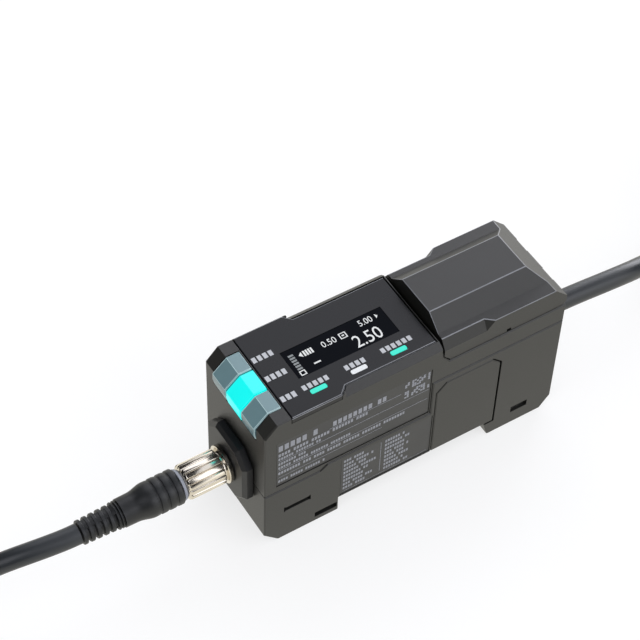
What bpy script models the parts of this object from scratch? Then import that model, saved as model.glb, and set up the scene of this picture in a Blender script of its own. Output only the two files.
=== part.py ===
# Display and evaluation unit of a laser displacement sensor, for a 35 mm rail.
# All sizes below are in millimetres. X runs from the connector end to the cable end,
# Y across the slim width, Z up. The drawing frame has its zero at the front face, the
# middle of the width and the soles of the feet.

import math

import bmesh
import bpy
from mathutils import Matrix, Vector, geometry

MM = 0.001
GAP = 0.3  # clearance between two pieces that seat on or in each other
OVER = 5.0  # how far a cutter runs past what it cuts

# Case, seen from the side
BODY_LENGTH = 94.0
BODY_WIDTH = 30.0
PANEL_TOP = 51.5
CASE_WALL = 1.6
CASE_EDGE = 0.35
FRONT_SPLIT = 22.4
MIDDLE_SPLIT = 24.0
REAR_SPLIT = 37.0
SPLIT_RAMP_START = 17.0
SPLIT_RAMP_LENGTH = 2.3
SPLIT_STEP_BACK = 2.0
FOOT_CHAMFER_LENGTH = 4.2
FOOT_CHAMFER_HEIGHT = 4.6
FACET_LENGTH = 3.6
FACET_HEIGHT = 3.9
LABEL_DEPTH = 0.25
LABEL_START = 3.5
LABEL_END_MARGIN = 0.7
LABEL_LOW = 24.9
LABEL_HIGH = 43.5
LOWER_LABEL_START = 23.6
LOWER_LABEL_LOW = 6.3
LOWER_LABEL_HIGH = 22.4
LATCH_START = 6.0
LATCH_LENGTH = 8.3
LATCH_LOW = 11.5
LATCH_HEIGHT = 2.2
LATCH_FLARE = 0.8
REAR_SLOT_BACK = 14.0
REAR_SLOT_LENGTH = 5.5
REAR_SLOT_LOW = 5.1
REAR_SLOT_HEIGHT = 2.3
SLOT_DEPTH = 1.0

# Rail channel, fixed claw and slider
CHANNEL_START = 23.4
CHANNEL_LENGTH = 47.6
CHANNEL_LEAD = 1.6
CHANNEL_DEPTH = 5.5
FLOOR = 1.8
RAIL_WIDTH = 35.0
RAIL_THICKNESS = 1.0
RAIL_PLAY = 0.5
CLAW_REACH = 2.6
CLAW_LENGTH = 3.2
CLAW_WIDTH = 21.0
SLIDER_LOW = 1.9
SLIDER_THICKNESS = 2.0
SLIDER_WIDTH = 17.0
SLIDER_START = 2.2
SLIDER_TRAVEL = 3.0
SLIDER_LUG = 2.6
SLIDER_TAB = 6.0
WINDOW_START = 15.8
WINDOW_LENGTH = 7.0
SPRING_START = 8.6
SPRING_LENGTH = 7.6
SPRING_DIAMETER = 2.7
SPRING_WIRE = 0.45
SPRING_TURNS = 5
SPRING_STOP = 1.4

# Display panel and what sits in it
PANEL_START = 8.0
PANEL_COVER_GAP = 0.7
PANEL_THICKNESS = 1.8
PANEL_FIT = 0.2
NOTCH_START = 22.8
NOTCH_LENGTH = 2.3
NOTCH_HALF_WIDTH = 12.8
SHOULDER_DROP = 2.0
WINDOW_PANE_START = 16.0
WINDOW_END_MARGIN = 6.3
WINDOW_PANE_WIDTH = 9.6
WINDOW_PANE_CENTRE = -0.2
WINDOW_PANE_THICKNESS = 1.2
BARS = 3
BAR_FRONT_MARGIN = 0.3
BAR_REAR_MARGIN = 1.3
BAR_LENGTH = 4.9
BAR_WIDTH = 1.6
BAR_CENTRE = -10.2
BAR_DEPTH = 4.2
MODULE_OVERHANG = 1.65
MODULE_WIDTH = 12.0
MODULE_THICKNESS = 1.6

# Indicator lenses
LENS_OUTER_HALF = 10.6
LENS_SPLIT_HALF = 3.75
LENS_PROUD = 0.55
LENS_BACK = 7.4
LENS_LOW = 43.0
LENS_TAPER = 2.4
LENS_THICKNESS = 2.4
LENS_EDGE = 0.35

# Key cover and its hinge
COVER_LENGTH = 40.3
COVER_SETBACK = 0.9
COVER_HALF_WIDTH = 14.7
COVER_TOP = 55.9
COVER_FLAT_HALF = 6.4
COVER_RIDGE_HALF = 11.0
COVER_RIDGE_HEIGHT = 51.55
COVER_EDGE_HEIGHT = 51.3
COVER_PARTING = 43.9
COVER_WALL = 1.5
COVER_SLOPE_END = 47.2
COVER_CHIN_LENGTH = 2.1
COVER_CHIN_HEIGHT = 2.2
NOTCH_FROM_START = 20.9
NOTCH_WIDTH = 1.4
NOTCH_RISE = 1.0
NOTCH_DEPTH = 0.8
GRIP_LENGTH = 14.2
GRIP_LEAN_ACROSS = 1.36
GRIP_LEAN_UP = 0.88
GRIP_INSET = 1.9
GRIP_DROP = 2.9
HINGE_RADIUS = 1.7
PIN_DIAMETER = 1.5
PIN_PLAY = 0.08
LUG_INNER = 3.5
LUG_OUTER = 8.5
LUG_SETBACK = 0.4
PIN_LENGTH = 25.6

# Key deck, keys and switches
DECK_GAP = 4.3
DECK_REAR_GAP = 6.0
DECK_HALF_WIDTH = 12.0
DECK_TOP = 48.5
DECK_THICKNESS = 1.2
KEY_PITCH_X = 8.6
KEY_PITCH_Y = 7.2
KEY_LENGTH = 6.0
KEY_WIDTH = 4.6
KEY_RISE = 1.2
KEY_FLANGE = 0.7
KEY_FLANGE_THICKNESS = 0.8
KEY_STEM = 2.4
KEY_TRAVEL = 0.25
KEY_CORNER = 1.0
SWITCH_SIZE = 4.5
SWITCH_HEIGHT = 1.4
SWITCH_BUTTON = 2.2
SWITCH_BUTTON_HEIGHT = 0.6

# Circuit boards
BOARD_THICKNESS = 1.2
BOARD_SIDE_GAP = 0.8
MAIN_BOARD_HEIGHT = 16.0
BOARD_START = 3.0
BOARD_REAR_GAP = 5.0
MAIN_BOARD_START = 9.0
LAMP_SIZE = 1.6
LAMP_RISE = 1.0
LAMP_PLACE = 1.5
CHIP_SIZE = 9.0
CHIP_RISE = 1.6
CHIP_PLACE = 14.0
PART_SIZE = 7.0
PART_RISE = 5.0
PART_PLACE = 16.0
HEADER_START = 30.0
HEADER_LENGTH = 14.0
HEADER_WIDTH = 4.0

# Link covers and link connectors in the sides
DOOR_BACK = 0.5
DOOR_LENGTH = 20.8
DOOR_HEIGHT = 29.1
DOOR_CORNER = 3.0
LINK_FROM_DOOR = 4.3
LINK_LENGTH = 12.5
LINK_HEIGHT = 5.2
LINK_RECESS = 1.2

# Round connector at the front
AXIS_HEIGHT = 22.75
FLANGE_HALF_WIDTH = 9.6
FLANGE_HALF_HEIGHT = 10.6
FLANGE_CORNER = 4.3
FLANGE_THICKNESS = 2.8
FLANGE_BEVEL = 1.0
NECK_RADIUS = 6.0
COLLAR_RADIUS = 7.6
COLLAR_THICKNESS = 1.4
SHELL_RADIUS = 3.9
SHELL_BORE = 3.2
SHELL_FRONT = 9.6
SHELL_BACK = 6.0
INSERT_FRONT = 3.0
CONTACT_RADIUS = 0.5
CONTACT_CIRCLE = 1.75
CONTACTS = 4
CONTACT_REACH = 4.6
CONTACT_PLAY = 0.2
NUT_START = 3.3
NUT_END = 16.4
NUT_RADIUS = 5.0
NUT_BORE = 4.15
NUT_SHOULDER = 12.2
NUT_NECK_BORE = 3.4
NUT_RING = 1.3
NUT_RING_GROOVE = 0.7
NUT_FLUTES = 18
NUT_FLUTE_DEPTH = 0.45
SEAL_LENGTH = 1.0
SEAL_RADIUS = 4.5
PLUG_NECK = 3.1
PLUG_RIBS = 3
PLUG_RIB_RADIUS = 5.0
PLUG_RIB_PITCH = 2.45
PLUG_RIB_GROOVE = 0.55
PLUG_BARREL_LENGTH = 9.5
PLUG_BARREL_RADIUS = 4.2
PLUG_RING_LENGTH = 1.8
RELIEF_LENGTH = 9.9
RELIEF_RADIUS = 3.62
RELIEF_END_RADIUS = 3.38
RELIEF_ROWS = 5
RELIEF_SLOT = 0.75
RELIEF_CORE = 1.9

# Cables
FRONT_CABLE = 5.7
REAR_CABLE = 6.0
BUSH_OUT = 8.0
BUSH_RADIUS = 4.4
BUSH_END_RADIUS = 3.7
BUSH_NECK = 3.9
BUSH_RIM = 5.4
BUSH_RIM_THICKNESS = 1.4
CABLE_SIDES = 3  # bevel resolution of the cable tubes
FRONT_ROUTE = (
    (-46.5, 0.0, 22.75),
    (-50.0, 0.1, 22.75),
    (-55.0, 0.6, 22.7),
    (-60.0, 1.4, 22.4),
    (-65.0, 2.6, 21.5),
    (-70.0, 4.1, 19.7),
    (-75.0, 5.7, 17.0),
    (-80.0, 7.4, 13.7),
    (-85.0, 9.1, 10.2),
    (-90.0, 10.6, 7.0),
    (-95.0, 11.6, 4.6),
    (-100.0, 12.1, 3.3),
    (-105.5, 12.15, 2.95),
)
REAR_ROUTE = (
    (102.3, 0.0, 22.75),
    (106.0, 0.0, 22.6),
    (112.0, 0.0, 22.2),
    (119.0, 0.0, 21.5),
    (126.0, 0.3, 20.4),
    (132.0, 1.1, 18.7),
    (138.0, 2.5, 16.3),
    (144.0, 4.4, 13.2),
    (150.0, 6.6, 9.9),
    (156.0, 8.8, 6.9),
    (162.0, 10.7, 4.6),
    (168.0, 11.8, 3.4),
    (172.9, 12.0, 3.1),
)
HANK_SIDE = 15.0  # far side of both hanks
HANK_FOOT = 0.1
FRONT_HANK_END = -99.9
FRONT_HANK_LENGTH = 90.0
FRONT_HANK_WIDTH = 40.0
FRONT_HANK_TURNS = 2
REAR_HANK_START = 166.9
REAR_HANK_LENGTH = 114.0
REAR_HANK_WIDTH = 42.0
REAR_HANK_TURNS = 7
TIE_WIDTH = 5.0
TIE_THICKNESS = 1.0
SOCKET_RADIUS = 5.6
SOCKET_LENGTH = 20.0
SOCKET_TAPER_RADIUS = 3.6
SOCKET_START = 20.0
SLEEVE_LENGTH = 8.0
SLEEVE_RADIUS = 4.0
SLEEVE_BORE = 3.3
SLEEVE_DEPTH = 6.0
JACKET_END = 7.0
TAIL_LENGTH = 23.0
TAIL_START = 23.0
TAIL_INSET = 0.5

# Places worked out from the sizes above
HALF_WIDTH = BODY_WIDTH / 2
INNER_HALF = HALF_WIDTH - CASE_WALL
CHANNEL_END = CHANNEL_START + CHANNEL_LENGTH
CAVITY_LOW = CHANNEL_DEPTH + FLOOR
SPLIT_RAMP_END = SPLIT_RAMP_START + SPLIT_RAMP_LENGTH
PANEL_SEAT = PANEL_TOP - PANEL_THICKNESS - PANEL_FIT
COVER_START = BODY_LENGTH - COVER_LENGTH
PANEL_END = COVER_START - PANEL_COVER_GAP
PANEL_LOW = PANEL_TOP - PANEL_THICKNESS
ROOF_LOW = PANEL_SEAT - CASE_WALL
WINDOW_PANE_LENGTH = PANEL_END - WINDOW_END_MARGIN - WINDOW_PANE_START
MODULE_LENGTH = WINDOW_PANE_LENGTH + 2 * MODULE_OVERHANG
BAR_ROW = WINDOW_PANE_LENGTH - BAR_FRONT_MARGIN - BAR_REAR_MARGIN - BAR_LENGTH
BAR_PITCH = BAR_ROW / (BARS - 1)
BAR_STARTS = [WINDOW_PANE_START + BAR_FRONT_MARGIN + k * BAR_PITCH for k in range(BARS)]
SPLIT_STEP = COVER_START - SPLIT_STEP_BACK
LABEL_END = SPLIT_STEP - LABEL_END_MARGIN
REAR_SLOT_START = BODY_LENGTH - REAR_SLOT_BACK
DOOR_START = COVER_START - DOOR_BACK
LINK_START = DOOR_START + LINK_FROM_DOOR
NOTCH_PLACE = COVER_START + NOTCH_FROM_START
COVER_REAR = BODY_LENGTH
HINGE_X = COVER_REAR - HINGE_RADIUS
HINGE_HEIGHT = COVER_PARTING + HINGE_RADIUS
DECK_START = COVER_START + DECK_GAP
DECK_END = BODY_LENGTH - DECK_REAR_GAP
KEYS_CENTRE = (DECK_START + DECK_END) / 2
BOARD_END = BODY_LENGTH - BOARD_REAR_GAP
DECK_LOW = DECK_TOP - DECK_THICKNESS
KEY_FLANGE_LOW = DECK_LOW - GAP - KEY_FLANGE_THICKNESS
KEY_LOW = KEY_FLANGE_LOW - KEY_STEM
DISPLAY_BOARD_TOP = KEY_LOW - KEY_TRAVEL - 0.05 - SWITCH_HEIGHT - SWITCH_BUTTON_HEIGHT
MODULE_TOP = PANEL_LOW - GAP
RAIL_START = CHANNEL_START + RAIL_PLAY / 2
RAIL_END = RAIL_START + RAIL_WIDTH + RAIL_PLAY
CLAW_LOW = CHANNEL_DEPTH - RAIL_THICKNESS - RAIL_PLAY - SLIDER_THICKNESS
SLIDER_NOSE = CHANNEL_START + SLIDER_TRAVEL - 0.2
SLIDER_TOP = SLIDER_LOW + SLIDER_THICKNESS
SEAL_START = -NUT_END - 0.1 - SEAL_LENGTH
PLUG_START = SEAL_START - 0.1
PLUG_RIB_END = PLUG_START - PLUG_RIBS * PLUG_RIB_PITCH
PLUG_BARREL_END = PLUG_RIB_END - PLUG_BARREL_LENGTH
RELIEF_START = PLUG_BARREL_END - PLUG_RING_LENGTH
RELIEF_END = RELIEF_START - RELIEF_LENGTH
BUSH_END = BODY_LENGTH + BUSH_OUT
FRONT_HANK_HEIGHT = HANK_FOOT + FRONT_HANK_TURNS * FRONT_CABLE
REAR_HANK_HEIGHT = HANK_FOOT + REAR_HANK_TURNS * REAR_CABLE
FRAME_SHIFT = -(BUSH_END - SHELL_FRONT) / 2

COLOURS = {
    "case": ((0.045, 0.046, 0.043), 0.55, 0.0),
    "gloss": ((0.012, 0.013, 0.015), 0.18, 0.0),
    "glass": ((0.01, 0.012, 0.02), 0.08, 0.0),
    "lens": ((0.32, 0.45, 0.45), 0.35, 0.0),
    "lit": ((0.0, 0.8, 0.75), 0.3, 0.0),
    "pale": ((0.75, 0.76, 0.76), 0.5, 0.0),
    "nickel": ((0.72, 0.69, 0.62), 0.22, 1.0),
    "steel": ((0.5, 0.5, 0.5), 0.3, 1.0),
    "rubber": ((0.02, 0.02, 0.02), 0.7, 0.0),
    "jacket": ((0.035, 0.04, 0.045), 0.45, 0.0),
    "key": ((0.18, 0.18, 0.19), 0.5, 0.0),
    "board": ((0.02, 0.12, 0.06), 0.5, 0.0),
    "grey": ((0.4, 0.42, 0.42), 0.4, 0.0),
    "gold": ((0.8, 0.6, 0.25), 0.25, 1.0),
}


def clear_scene():
    for old in list(bpy.data.objects):
        bpy.data.objects.remove(old)


def finish(name):
    colour, roughness, metallic = COLOURS[name]
    made = bpy.data.materials.get(name)
    if made is None:
        made = bpy.data.materials.new(name)
        made.use_nodes = True
        shader = made.node_tree.nodes["Principled BSDF"]
        shader.inputs["Base Color"].default_value = (*colour, 1.0)
        shader.inputs["Roughness"].default_value = roughness
        shader.inputs["Metallic"].default_value = metallic
    return made


def put(name, bm):
    """Turn a bmesh, drawn in millimetres, into an object in metres."""
    bmesh.ops.recalc_face_normals(bm, faces=bm.faces)
    bmesh.ops.scale(bm, vec=(MM, MM, MM), verts=bm.verts)
    mesh = bpy.data.meshes.new(name)
    bm.to_mesh(mesh)
    bm.free()
    made = bpy.data.objects.new(name, mesh)
    bpy.context.collection.objects.link(made)
    return made


def oriented(axis, u, v, along):
    """A point from its place on an outline, (u, v), and its place along the outline's axis."""
    if axis == "X":
        return Vector((along, u, v))
    if axis == "Y":
        return Vector((u, along, v))
    return Vector((u, v, along))


def prism(outline, axis, low, high, name="tool"):
    """A flat outline drawn out along X (outline in Y, Z), Y (in X, Z) or Z (in X, Y)."""
    bm = bmesh.new()
    floor = [bm.verts.new(oriented(axis, u, v, low)) for u, v in outline]
    roof = [bm.verts.new(oriented(axis, u, v, high)) for u, v in outline]
    bm.faces.new(floor)
    bm.faces.new(roof)
    count = len(outline)
    for i in range(count):
        j = (i + 1) % count
        bm.faces.new((floor[i], floor[j], roof[j], roof[i]))
    return put(name, bm)


def box(x, y, z, name="tool"):
    """A block from its low and high X, Y and Z."""
    return prism([(x[0], y[0]), (x[1], y[0]), (x[1], y[1]), (x[0], y[1])], "Z", *z, name=name)


def rounded(u, v, radius, steps=3):
    """A rectangle outline with round corners, from its low and high u and v."""
    corners = ((u[1], v[1], 0), (u[0], v[1], 90), (u[0], v[0], 180), (u[1], v[0], 270))
    points = []
    for cu, cv, start in corners:
        mid_u = cu - math.copysign(radius, cu - sum(u) / 2)
        mid_v = cv - math.copysign(radius, cv - sum(v) / 2)
        for k in range(steps + 1):
            turn = math.radians(start + 90 * k / steps)
            points.append((mid_u + radius * math.cos(turn), mid_v + radius * math.sin(turn)))
    return points


def circle(u, v, radius, sides):
    turns = [2 * math.pi * k / sides for k in range(sides)]
    return [(u + radius * math.cos(t), v + radius * math.sin(t)) for t in turns]


def turned(profile, axis, centre, sides, name="tool"):
    """A closed profile of (along, radius) points, turned about an axis through centre."""
    bm = bmesh.new()
    rings = []
    for along, radius in profile:
        if radius == 0:
            rings.append([bm.verts.new(oriented(axis, *centre, along))])
            continue
        around = circle(*centre, radius, sides)
        rings.append([bm.verts.new(oriented(axis, u, v, along)) for u, v in around])
    for a, b in zip(rings, rings[1:] + rings[:1]):
        if len(a) == 1 and len(b) == 1:
            continue
        for i in range(sides):
            j = (i + 1) % sides
            corners = [a[i % len(a)], a[j % len(a)], b[j % len(b)], b[i % len(b)]]
            bm.faces.new(list(dict.fromkeys(corners)))
    return put(name, bm)


def bake(target):
    """Keep the shape that the modifiers give, without the modifiers."""
    graph = bpy.context.evaluated_depsgraph_get()
    mesh = bpy.data.meshes.new_from_object(target.evaluated_get(graph))
    target.modifiers.clear()
    target.data = mesh


def combine(target, tools, operation):
    for tool in tools:
        step = target.modifiers.new("step", "BOOLEAN")
        step.operation = operation
        step.solver = "EXACT"
        step.object = tool
        bake(target)
        bpy.data.objects.remove(tool)
    return target


def cut(target, *tools):
    return combine(target, tools, "DIFFERENCE")


def fuse(target, *tools):
    return combine(target, tools, "UNION")


def keep_inside(target, *tools):
    return combine(target, tools, "INTERSECT")


def soften(target, width, wanted, segments=1):
    """Break the sharp edges that wanted(middle, direction), in millimetres, picks."""
    bm = bmesh.new()
    bm.from_mesh(target.data)
    picked = []
    for edge in bm.edges:
        a, b = (v.co / MM for v in edge.verts)
        sharp = len(edge.link_faces) == 2 and edge.calc_face_angle(0) > math.radians(25)
        if sharp and wanted((a + b) / 2, (b - a).normalized()):
            picked.append(edge)
    bmesh.ops.bevel(
        bm,
        geom=picked,
        offset=width * MM,
        segments=segments,
        profile=0.5,
        affect="EDGES",
        clamp_overlap=True,
    )
    bm.to_mesh(target.data)
    bm.free()
    return target


def hand_over(target, name, material, round_over=20):
    """Name a finished piece, give it its material and shade its round faces smooth."""
    target.name = name
    target.data.name = name
    target.data.materials.clear()
    target.data.materials.append(finish(material))
    target.data.shade_smooth()
    target.data.set_sharp_from_angle(angle=math.radians(round_over))
    target.parent = bpy.data.objects["unit"]
    return target


def split_line(shift):
    """The seam between the two shells from front to rear, moved up by shift."""
    side = shift if shift > 0 else 0.0
    return [
        (0.0, FRONT_SPLIT + shift),
        (SPLIT_RAMP_START, FRONT_SPLIT + shift),
        (SPLIT_RAMP_END, MIDDLE_SPLIT + shift),
        (SPLIT_STEP - side, MIDDLE_SPLIT + shift),
        (SPLIT_STEP - side, REAR_SPLIT + shift),
        (BODY_LENGTH, REAR_SPLIT + shift),
    ]


def door_outline(grow):
    """The link cover's outline in X and Z, made larger all round by grow."""
    low = CHANNEL_DEPTH - grow
    high = CHANNEL_DEPTH + DOOR_HEIGHT + grow
    start = DOOR_START - grow
    end = DOOR_START + DOOR_LENGTH + grow
    return [
        (start, low),
        (end, low),
        (end, high - DOOR_CORNER),
        (end - DOOR_CORNER, high),
        (start + DOOR_CORNER, high),
        (start, high - DOOR_CORNER),
    ]


def latch_outline():
    """The latch window's outline: a slot with flared ends."""
    start, end = LATCH_START, LATCH_START + LATCH_LENGTH
    low, high = LATCH_LOW, LATCH_LOW + LATCH_HEIGHT
    flare = LATCH_FLARE
    return [
        (start, low),
        (start + flare, low + flare / 2),
        (end - flare, low + flare / 2),
        (end, low),
        (end, high),
        (end - flare, high - flare / 2),
        (start + flare, high - flare / 2),
        (start, high),
    ]


def near_cut(outline, depth):
    """A cutter that sinks an outline into the near side wall to a depth."""
    return prism(outline, "Y", -HALF_WIDTH - OVER, -HALF_WIDTH + depth)


def side_cut(outline, depth):
    """Two cutters that sink an outline into both side walls to a depth."""
    far = prism(outline, "Y", HALF_WIDTH - depth, HALF_WIDTH + OVER)
    return near_cut(outline, depth), far


def rectangle(start, end, low, high):
    return [(start, low), (end, low), (end, high), (start, high)]


def on_outline(middle, direction):
    """Picks the edges round both side faces of the case."""
    return abs(abs(middle.y) - HALF_WIDTH) < 0.01 and abs(direction.y) < 0.01


def connector_hole(radius):
    """A round cutter through the front wall, on the connector's axis."""
    return prism(circle(0, AXIS_HEIGHT, radius, 32), "X", -OVER, CASE_WALL + OVER)


def make_base_case():
    top = split_line(-GAP / 2)
    outline = [
        (FOOT_CHAMFER_LENGTH, 0),
        (CHANNEL_START, 0),
        (CHANNEL_START, CHANNEL_DEPTH),
        (CHANNEL_END, CHANNEL_DEPTH),
        (CHANNEL_END + CHANNEL_LEAD, 0),
        (BODY_LENGTH - FOOT_CHAMFER_LENGTH * 0.8, 0),
        (BODY_LENGTH, FOOT_CHAMFER_HEIGHT * 0.9),
        *reversed(top),
        (0, FOOT_CHAMFER_HEIGHT),
    ]
    case = prism(outline, "Y", -HALF_WIDTH, HALF_WIDTH)
    soften(case, CASE_EDGE, on_outline)
    inside = box(
        (CASE_WALL, BODY_LENGTH - CASE_WALL),
        (-INNER_HALF, INNER_HALF),
        (CAVITY_LOW, REAR_SPLIT + OVER),
    )
    cut(case, inside)
    claw = [
        (RAIL_END, CHANNEL_DEPTH + FLOOR / 2),
        (RAIL_END, CLAW_LOW + SLIDER_THICKNESS),
        (RAIL_END - CLAW_REACH, CLAW_LOW + SLIDER_THICKNESS),
        (RAIL_END - CLAW_REACH, CLAW_LOW + SLIDER_THICKNESS / 2),
        (RAIL_END - CLAW_REACH / 2, CLAW_LOW),
        (RAIL_END + CLAW_LENGTH, CLAW_LOW),
        (RAIL_END + CLAW_LENGTH, CHANNEL_DEPTH + FLOOR / 2),
    ]
    fuse(case, prism(claw, "Y", -CLAW_WIDTH / 2, CLAW_WIDTH / 2))
    half = SLIDER_WIDTH / 2 + GAP
    run = (SLIDER_START - SLIDER_TRAVEL - OVER, CHANNEL_START + OVER)
    pocket = box(run, (-half, half), (SLIDER_LOW - GAP, SLIDER_TOP + GAP))
    windows = prism(
        rectangle(
            WINDOW_START, WINDOW_START + WINDOW_LENGTH, SLIDER_LOW, SLIDER_LOW + SLIDER_THICKNESS
        ),
        "Y",
        -HALF_WIDTH - OVER,
        HALF_WIDTH + OVER,
    )
    spring_half = SPRING_DIAMETER / 2 + GAP
    spring_room = box(
        (SPRING_START - SPRING_STOP, CHANNEL_START - CASE_WALL),
        (-spring_half, spring_half),
        (SLIDER_LOW - GAP, SLIDER_LOW + SPRING_DIAMETER + GAP),
    )
    cut(case, pocket, windows, spring_room)
    stop = box(
        (SPRING_START - SPRING_STOP, SPRING_START - GAP),
        (-spring_half + GAP, spring_half - GAP),
        (SLIDER_LOW, CHANNEL_DEPTH + FLOOR / 2),
    )
    fuse(case, stop)
    cut(case, *side_cut(door_outline(GAP), CASE_WALL + GAP))
    cut(case, *side_cut(latch_outline(), SLOT_DEPTH))
    rear_slot = rectangle(
        REAR_SLOT_START,
        REAR_SLOT_START + REAR_SLOT_LENGTH,
        REAR_SLOT_LOW,
        REAR_SLOT_LOW + REAR_SLOT_HEIGHT,
    )
    cut(case, *side_cut(rear_slot, SLOT_DEPTH))
    label = rectangle(
        LOWER_LABEL_START, DOOR_START - 2 * GAP, LOWER_LABEL_LOW, LOWER_LABEL_HIGH
    )
    cut(case, near_cut(label, LABEL_DEPTH))
    cut(case, connector_hole(NECK_RADIUS + GAP))
    rear = prism(
        circle(0, AXIS_HEIGHT, BUSH_NECK + GAP, 24),
        "X",
        BODY_LENGTH - CASE_WALL - OVER,
        BODY_LENGTH + OVER,
    )
    cut(case, rear)
    return hand_over(case, "base_case", "case")


def lug_barrels(radius, low, high):
    """A round bar along the hinge axis between two places across the width."""
    return prism(circle(HINGE_X, HINGE_HEIGHT, radius, 24), "Y", low, high)


def panel_outline(grow):
    """The display panel's outline from above: full width at the front, then notched in."""
    start, end = PANEL_START - grow, PANEL_END + grow
    wide, slim = HALF_WIDTH, NOTCH_HALF_WIDTH + grow
    near = [
        (start, -wide),
        (NOTCH_START + grow, -wide),
        (NOTCH_START + NOTCH_LENGTH + grow, -slim),
        (end, -slim),
    ]
    return near + [(x, -y) for x, y in reversed(near)]


def lens_profile(grow):
    """The lens in X and Z: over the top, down the facet, down the front, and back inside."""
    front = -LENS_PROUD - grow
    top = PANEL_TOP + grow
    return [
        (LENS_BACK + grow, top),
        (FACET_LENGTH + grow / 2, top),
        (front, PANEL_TOP - FACET_HEIGHT + grow / 2),
        (front, LENS_LOW + LENS_TAPER),
        (-grow, LENS_LOW - grow),
        (LENS_THICKNESS + grow, LENS_LOW - grow),
        (LENS_THICKNESS + grow, PANEL_TOP - FACET_HEIGHT - 2.5),
        (FACET_LENGTH + 1.6, PANEL_TOP - LENS_THICKNESS - grow),
        (LENS_BACK + grow, PANEL_TOP - LENS_THICKNESS - grow),
    ]


def make_upper_case():
    seam = split_line(GAP / 2)
    deck_edge = COVER_PARTING - GAP
    front_of_cover = COVER_START - GAP
    outline = [
        *seam,
        (BODY_LENGTH, deck_edge),
        (front_of_cover + COVER_CHIN_LENGTH + COVER_SETBACK, deck_edge),
        (front_of_cover + COVER_SETBACK, COVER_PARTING + COVER_CHIN_HEIGHT),
        (front_of_cover + 0.2, COVER_EDGE_HEIGHT),
        (front_of_cover, PANEL_TOP),
        (FACET_LENGTH, PANEL_TOP),
        (0, PANEL_TOP - FACET_HEIGHT),
    ]
    case = prism(outline, "Y", -HALF_WIDTH, HALF_WIDTH)
    soften(case, CASE_EDGE, on_outline)
    deck = box((DECK_START, DECK_END), (-DECK_HALF_WIDTH, DECK_HALF_WIDTH), (deck_edge - 1, DECK_TOP))
    soften(deck, CASE_EDGE, lambda middle, direction: middle.z > DECK_TOP - 0.1)
    fuse(case, deck)
    for side in (-1, 1):
        low, high = sorted((side * (LUG_INNER + GAP), side * (LUG_OUTER - GAP)))
        web = [
            (DECK_END - 1, deck_edge - 1),
            (BODY_LENGTH - LUG_SETBACK, deck_edge - 1),
            (BODY_LENGTH - LUG_SETBACK, HINGE_HEIGHT),
            (HINGE_X, HINGE_HEIGHT + HINGE_RADIUS),
            (HINGE_X - HINGE_RADIUS, HINGE_HEIGHT),
            (DECK_END - 1, deck_edge + 1),
        ]
        fuse(case, prism(web, "Y", low, high), lug_barrels(HINGE_RADIUS, low, high))
    cut(case, lug_barrels(PIN_DIAMETER / 2 + PIN_PLAY, -HALF_WIDTH, HALF_WIDTH))
    lower_room = box(
        (CASE_WALL, BODY_LENGTH - CASE_WALL),
        (-INNER_HALF, INNER_HALF),
        (MIDDLE_SPLIT - OVER, COVER_PARTING - CASE_WALL),
    )
    display_room = box(
        (CASE_WALL, COVER_START - CASE_WALL - GAP),
        (-INNER_HALF, INNER_HALF),
        (MIDDLE_SPLIT, ROOF_LOW),
    )
    deck_room = box(
        (DECK_START + CASE_WALL, DECK_END - CASE_WALL),
        (-DECK_HALF_WIDTH + CASE_WALL, DECK_HALF_WIDTH - CASE_WALL),
        (MIDDLE_SPLIT, DECK_LOW),
    )
    cut(case, lower_room, display_room, deck_room)
    cut(case, prism(panel_outline(PANEL_FIT), "Z", PANEL_SEAT, PANEL_TOP + OVER))
    full_width_part = box(
        (PANEL_START - PANEL_FIT, NOTCH_START + PANEL_FIT),
        (-HALF_WIDTH - OVER, HALF_WIDTH + OVER),
        (PANEL_SEAT, PANEL_TOP + OVER),
    )
    cut(case, full_width_part)
    for side in (-1, 1):
        shoulder = [
            (side * (NOTCH_HALF_WIDTH + PANEL_FIT), PANEL_TOP),
            (side * (HALF_WIDTH + OVER), PANEL_TOP + OVER),
            (side * (HALF_WIDTH + OVER), PANEL_TOP - SHOULDER_DROP * (1 + OVER / 2.2)),
        ]
        cut(case, prism(shoulder, "X", NOTCH_START + NOTCH_LENGTH / 2, COVER_START + OVER))
    middle = WINDOW_PANE_START + WINDOW_PANE_LENGTH / 2
    module_room = box(
        (middle - MODULE_LENGTH / 2 - GAP, middle + MODULE_LENGTH / 2 + GAP),
        (-MODULE_WIDTH / 2 - GAP, MODULE_WIDTH / 2 + GAP),
        (ROOF_LOW - OVER, PANEL_TOP + OVER),
    )
    cut(case, module_room)
    for start in BAR_STARTS:
        light_way = box(
            (start - GAP, start + BAR_LENGTH + GAP),
            (BAR_CENTRE - BAR_WIDTH / 2 - GAP, BAR_CENTRE + BAR_WIDTH / 2 + GAP),
            (ROOF_LOW - OVER, PANEL_TOP + OVER),
        )
        cut(case, light_way)
    lens_half = LENS_OUTER_HALF + GAP / 2
    cut(case, prism(lens_profile(GAP / 2), "Y", -lens_half, lens_half))
    for key_x, key_y in key_places().values():
        hole = rounded(
            (key_x - KEY_LENGTH / 2 - GAP, key_x + KEY_LENGTH / 2 + GAP),
            (key_y - KEY_WIDTH / 2 - GAP, key_y + KEY_WIDTH / 2 + GAP),
            KEY_CORNER + GAP,
            2,
        )
        cut(case, prism(hole, "Z", DECK_LOW - 1, DECK_TOP + OVER))
    label = rectangle(LABEL_START, LABEL_END, LABEL_LOW, LABEL_HIGH)
    cut(case, near_cut(label, LABEL_DEPTH))
    cut(case, connector_hole(NECK_RADIUS + GAP))
    return hand_over(case, "upper_case", "case")


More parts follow.
